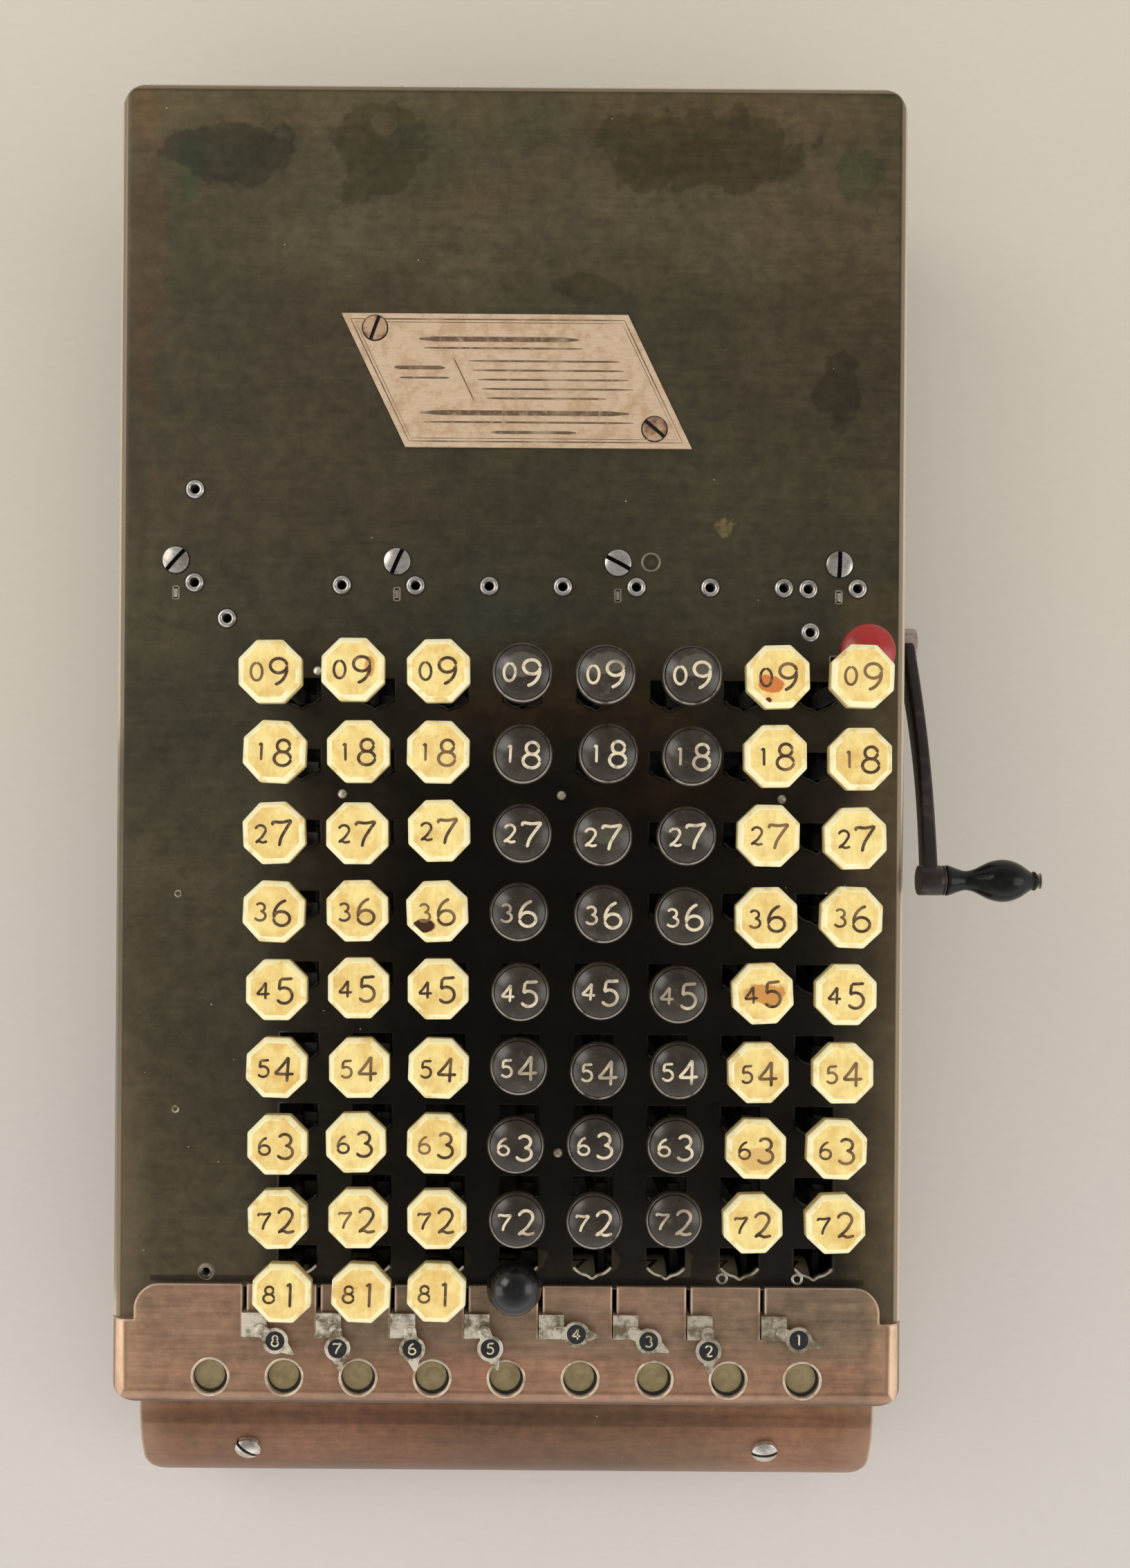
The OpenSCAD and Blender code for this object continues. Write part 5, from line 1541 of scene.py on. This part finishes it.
    def build_guides(self) -> None:
        """Builds the bent guides at the pointed fronts of the key holes: bright in row 1, and behind it a
        dark copy that is painted shade.
        """
        guides, front = Shape(), Shape()
        half = [(-4.9, -0.1), (-4.0, -1.0), (-2.9, -1.75), (-1.3, -2.25)]
        path = curve([*half, (0, -3.0), *[(-x, y) for x, y in half[::-1]]], 41)
        for n in range(1, PLACE.rows + 1):
            for k in range(1, PLACE.columns + 1):
                x, y = PLACE.key_x(k), PLACE.row_y(n)

                def put(u: np.ndarray, v: np.ndarray, h: np.ndarray) -> np.ndarray:
                    """Points about the hole's middle on the plate."""
                    return np.stack([x + u, y + v, PLACE.plate_z + h], -1)

                (front if n == 1 else guides).ribbon(path, 0.6, put, 0.4, -1.2)
        guides.build("key_hole_guides", HOUSING, SHADED_GUIDE_STEEL, "fasteners")
        front.build("front_hole_guides", HOUSING, NICKEL, "fasteners")


@dataclass
class NamePlate:
    """Slanted nickel plate with plain engraved rules and two rusty screws."""

    left: float = -44.5
    back: float = 281.0
    w: float = 74.0
    h: float = 34.5
    slant: float = 16.7
    top: float = 86.8
    lines: tuple[tuple[float, float, float, float], ...] = (
        (6.6, 17, 58, 1.3), (8.9, 17, 58, 0.5), (12.2, 27, 66, 0.5), (14.6, 27, 66, 0.5), (17.0, 27, 66, 0.5),
        (19.4, 27, 66, 0.5), (21.8, 27, 58, 0.5), (14.0, 7, 20, 1.0), (16.6, 7, 20, 0.5), (25.6, 8, 62, 1.3),
        (28.0, 8, 62, 0.5), (30.6, 24, 46, 0.8))
    screws: tuple[tuple[float, float, float], ...] = ((-35.8, 277.15, 70), (36.5, 251.54, -40))
    # A ring of painted shade round each screw.
    shade_ring_size: RingSize = (2.9, 3.45, 0.03, 0.1)
    screw_size: ScrewSize = (3.1, 0.75, 0.95)

    def put(self, u: np.ndarray, v: np.ndarray, h: np.ndarray) -> np.ndarray:
        """Points on the plate: u along its back edge and v down from it, sheared by the slant."""
        return np.stack([self.left + u + v / self.h * self.slant, self.back - v, self.top + h], -1)

    def rule(self, shape: Shape, start: tuple[float, float], end: tuple[float, float], width: float) -> None:
        """Adds a straight rule between two places on the plate."""
        t = np.linspace(0, 1, 12)[:, None]
        shape.ribbon(np.array(start) * (1 - t) + np.array(end) * t, width, self.put, 0.03, -0.1)

    def build(self) -> None:
        """Dresses the plate and builds its rules, its screws and the rings of painted shade round them."""
        softened("name_plate", HOUSING, PLATE_NICKEL, 0.35)
        rules = Shape()
        for inset, width in ((1.5, 0.35), (2.3, 0.18)):
            side = inset * np.hypot(self.slant, self.h) / self.h
            left, right, back, front = side, self.w - side, inset, self.h - inset
            corners = [(left, back), (right, back), (right, front), (left, front)]
            for start, end in zip(corners, corners[1:] + corners[:1]):
                self.rule(rules, start, end, width)
        for v, u0, u1, width in self.lines:
            self.rule(rules, (u0, v), (u1, v), width)
        self.rule(rules, (23.5, 11.4), (23.5, 22.6), 0.35)
        rules.build("name_plate_rules", HOUSING, RULES, "plate")
        screws, shade_rings = Shape(), Shape()
        for x, y, turn in self.screws:
            at = (x, y, self.top)
            # A ring of painted shade round the screw.
            add_ring(shade_rings, at, self.shade_ring_size)
            add_screw(screws, self.screw_size, turn, lambda p, at=at: p + np.array(at))
        screws.build("name_plate_screws", HOUSING, RUSTY, "fasteners")
        shade_rings.build("name_plate_shade_rings", HOUSING, PAINTED_SHADE, "fasteners")


@dataclass
class ZeroCrank:
    """Bowed iron arm on its shaft, with a turned black handle."""

    hub_y: float = 199.9
    hub_z: float = 56.0
    arm_x: float = 108.35
    length: float = 71.0
    lift: float = 25.0
    bow: float = 1.3
    hub_w: float = 9.0
    taper: float = 1.9
    waist: float = 0.9
    thick: float = 3.9
    thinning: float = 0.3

    def ends(self) -> tuple[np.ndarray, np.ndarray]:
        """Middles of the arm's two ends."""
        a = np.radians(self.lift)
        hub = np.array([self.arm_x, self.hub_y, self.hub_z])
        return hub, hub + self.length * np.array([0, -np.cos(a), np.sin(a)])

    def build(self) -> None:
        """Builds the arm, its bosses, its shaft and the handle."""
        hub, end = self.ends()
        at_hub, at_end = (0, hub[1], hub[2]), (0, end[1], end[2])
        way = (end - hub) / self.length
        up = np.array([0.0, -way[2], way[1]])
        arm = Shape()
        t = np.linspace(0.02, 0.98, 40)
        swell = np.sin(np.pi * t)
        middle = hub + np.outer(t * self.length, way) + np.outer(self.bow * swell, [1.0, 0, 0])
        wide = self.hub_w - self.taper * t - self.waist * swell
        thick = self.thick - self.thinning * swell
        section = box_outline(1.0, 1.0, 0.24, 5)
        grid = (middle[:, None] + section[None, :, :1] * thick[:, None, None] * np.array([1.0, 0, 0])
                + section[None, :, 1:] * wide[:, None, None] * -up)
        arm.surface(grid)
        boss = Shape()
        boss.turned([(3.6, 103.8), (4.5, 103.9), (4.8, 104.3), (4.8, 110.6), (4.6, 111.0), (3.9, 111.2),
                     (3.5, 111.0), (3.4, 110.9), (3.0, 111.3), (2.2, 111.36)], at_hub, Axis.X)
        boss.build("crank_arm_boss", "crank_arm", HUB_STEEL, "arm")
        arm.turned([(3.0, 105.4), (3.7, 105.5), (3.9, 105.8), (3.9, 111.2), (3.7, 111.6), (3.9, 111.9),
                    (3.8, 112.25), (1.4, 112.3)], at_end, Axis.X)
        arm.build("crank_arm_forged", "crank_arm", IRON, "arm", ["crank_arm"])
        shaft = Shape()
        shaft.turned([(2.6, 88.0), (9.0, 88.0), (9.0, 91.0), (3.0, 91.05), (3.0, 102.5), (4.2, 102.55),
                      (4.5, 102.8), (4.5, 103.6), (4.2, 103.78), (2.5, 103.8)], at_hub, Axis.X)
        shaft.turned([(0.9, 136.8), (1.9, 136.87), (2.1, 137.05), (1.9, 137.3), (1.2, 137.42), (0.2, 137.45)],
                     at_end, Axis.X, 32)
        shaft.build("crank_shaft", "crank_arm", SCREW_STEEL, "arm")
        handle = Shape()
        profile = [(2.6, 112.36), (3.75, 112.5), (3.95, 113.1), (3.6, 114.2), (3.0, 115.8), (2.55, 117.4),
                   (2.6, 118.7), (3.05, 120.2), (3.9, 121.9), (4.85, 123.9), (5.4, 126.0), (5.5, 127.7),
                   (5.2, 129.6), (4.4, 131.6), (3.3, 133.3), (2.45, 134.5), (2.3, 134.9), (2.5, 135.3),
                   (2.35, 135.8), (1.7, 136.3), (1.3, 136.36)]
        handle.turned(curve(profile, 90), at_end, Axis.X, 56)
        handle.build("crank_handle_turned", "crank_handle", HANDLE, "handle", ["crank_handle"])


@dataclass
class ReleaseKey:
    """Round red key behind the last column."""

    x: float = 83.9
    y: float = 190.0
    top: float = 126.0
    r: float = 6.5
    dome: float = 2.2
    cap_dx: float = 0.8
    stem_x: float = 0.8

    def build(self) -> None:
        """Builds the cap and the stem."""
        cap = Shape()
        ball = (self.r**2 + self.dome**2) / (2 * self.dome)
        face = [(r, float(np.sqrt(ball**2 - r**2) - ball)) for r in (6.1, 5.6, 4.8, 3.8, 2.6, 1.2, 0.2)]
        cap.turned([(5.8, -5.0), (6.35, -4.9), (6.5, -4.6), (6.5, -2.6), (6.42, -2.25), *face],
                   (self.x + self.cap_dx, self.y, self.top))
        cap.build("release_key_cap", "release_key", RED, "red", ["release_key"])
        stem = Shape()
        at = (self.x + self.stem_x, self.y, 0)
        stem.lofted(box_outline(1.6, 4.0, 0.25), [(0.8, 34.0), (1.0, 34.4), (1.0, self.top - 3.6)], at)
        stem.turned([(1.2, -1.7), (2.3, -1.6), (2.6, -1.2), (3.0, -0.5), (3.0, 0.0), (2.4, 0.2)],
                    (at[0], self.y, self.top - 5), segments=28)
        stem.build("release_key_stem", "release_key", DARK_STEEL, "red", ["release_key"])


@dataclass
class Housing:
    """Case, number cover, toe and base, and the frame and levers inside them."""

    def build(self) -> None:
        """Dresses the housing's solids."""
        dress("case_shell", PLATE)
        dress("number_cover", COVER)
        dress("front_toe", TOE)
        dress("base_pan", BASE)
        dress("mechanism_frame", MILL_STEEL)
        dress("frame_shafts", MILL_STEEL)
        for k in range(1, PLACE.columns + 1):
            dress(f"column_lever_{k}", DARK_STEEL)


@dataclass
class Studio:
    """Pale floor, soft lights and the camera straight above."""

    camera_at: Place = (-0.0158, -0.01275, 0.531)
    camera_turn: float = 0.42
    lens: float = 39.5
    shift: tuple[float, float] = (0.0307, 0.0515)
    sky: tuple[float, float, float, float] = (0.15, 0.85, 0.95, 0.25)
    front: tuple[float, float, float, float] = (-0.9, 0.5, 1.25, 0.65)
    sky_colour: Colour = (0.97, 0.97, 1.0)
    floor_half: float = 3.0
    lamp_colour: Colour = (1.0, 0.97, 0.93)
    lamps: tuple[tuple[str, Place, float, float, bool], ...] = (
        ("window", (-0.85, 0.55, 1.05), 0.6, 3.4, True), ("soft_left", (-1.1, -0.25, 0.75), 0.7, 2.0, True),
        ("soft_right", (1.1, -0.1, 0.8), 0.7, 2.4, True), ("overhead", (0.15, -0.2, 1.9), 2.8, 36.0, False))

    def lamp(self, name: str, at: Place, size: float, power: float, mirrored: bool) -> None:
        """Adds a square soft light that faces the machine.

        Args:
            name: Its name.
            at: Its place, in metres.
            size: Its side.
            power: Its power, in watts.
            mirrored: Whether glossy surfaces show it.
        """
        data = bpy.data.lights.new(name, "AREA")
        data.size, data.energy, data.color = size, power, self.lamp_colour
        lamp = added(name, data)
        lamp.location = at
        lamp.rotation_euler = (-Vector(at)).to_track_quat("-Z", "Y").to_euler()
        lamp.visible_glossy = mirrored

    def room(self) -> None:
        """Lights the room: a little dimmer straight above, and brighter low in front and at the sides."""
        world = bpy.data.worlds.new("room")
        world.use_nodes = True
        tree = world.node_tree
        sky = tree.nodes["Background"]
        way = tree.nodes.new("ShaderNodeTexCoord")
        part = tree.nodes.new("ShaderNodeSeparateXYZ")
        level = tree.nodes.new("ShaderNodeMapRange")
        front = tree.nodes.new("ShaderNodeMapRange")
        total = tree.nodes.new("ShaderNodeMath")
        tree.links.new(way.outputs["Generated"], part.inputs[0])
        for node, source, limits in ((level, "Z", self.sky), (front, "Y", self.front)):
            tree.links.new(part.outputs[source], node.inputs["Value"])
            for name, value in zip(("From Min", "From Max", "To Min", "To Max"), limits):
                node.inputs[name].default_value = value
        total.operation = "MULTIPLY"
        tree.links.new(level.outputs[0], total.inputs[0])
        tree.links.new(front.outputs[0], total.inputs[1])
        tree.links.new(total.outputs[0], sky.inputs[1])
        sky.inputs[0].default_value = (*self.sky_colour, 1.0)
        bpy.context.scene.world = world

    def build(self) -> None:
        """Builds the floor, the lights, the world and the camera."""
        mesh = bpy.data.meshes.new("floor")
        side = self.floor_half
        corners = [(-side, -side, 0), (side, -side, 0), (side, side, 0), (-side, side, 0)]
        mesh.from_pydata(corners, [], [(0, 1, 2, 3)])
        mesh.materials.append(PAPER.material())
        floor = added("floor", mesh)
        for lamp in self.lamps:
            self.lamp(*lamp)
        self.room()
        data = bpy.data.cameras.new("camera")
        data.lens, data.sensor_width = self.lens, 36.0
        data.shift_x, data.shift_y = self.shift
        data.clip_start = 0.01
        camera = added("camera", data)
        camera.location = self.camera_at
        camera.rotation_euler = (0, 0, np.radians(self.camera_turn))
        bpy.context.scene.camera = camera
        bpy.context.scene.view_settings.view_transform = "Standard"


def main() -> None:
    """Builds the sub-assemblies in order."""
    logging.basicConfig(level=logging.INFO, format="%(message)s")
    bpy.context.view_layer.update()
    for assembly in (Studio(), Housing(), NamePlate(), Trim(), Keyboard(), NumberWheels(), CutoffLevers(),
                     ReleaseKey(), ZeroCrank()):
        assembly.build()
        LOG.info("built %s", type(assembly).__name__)


if __name__ == "__main__":
    main()
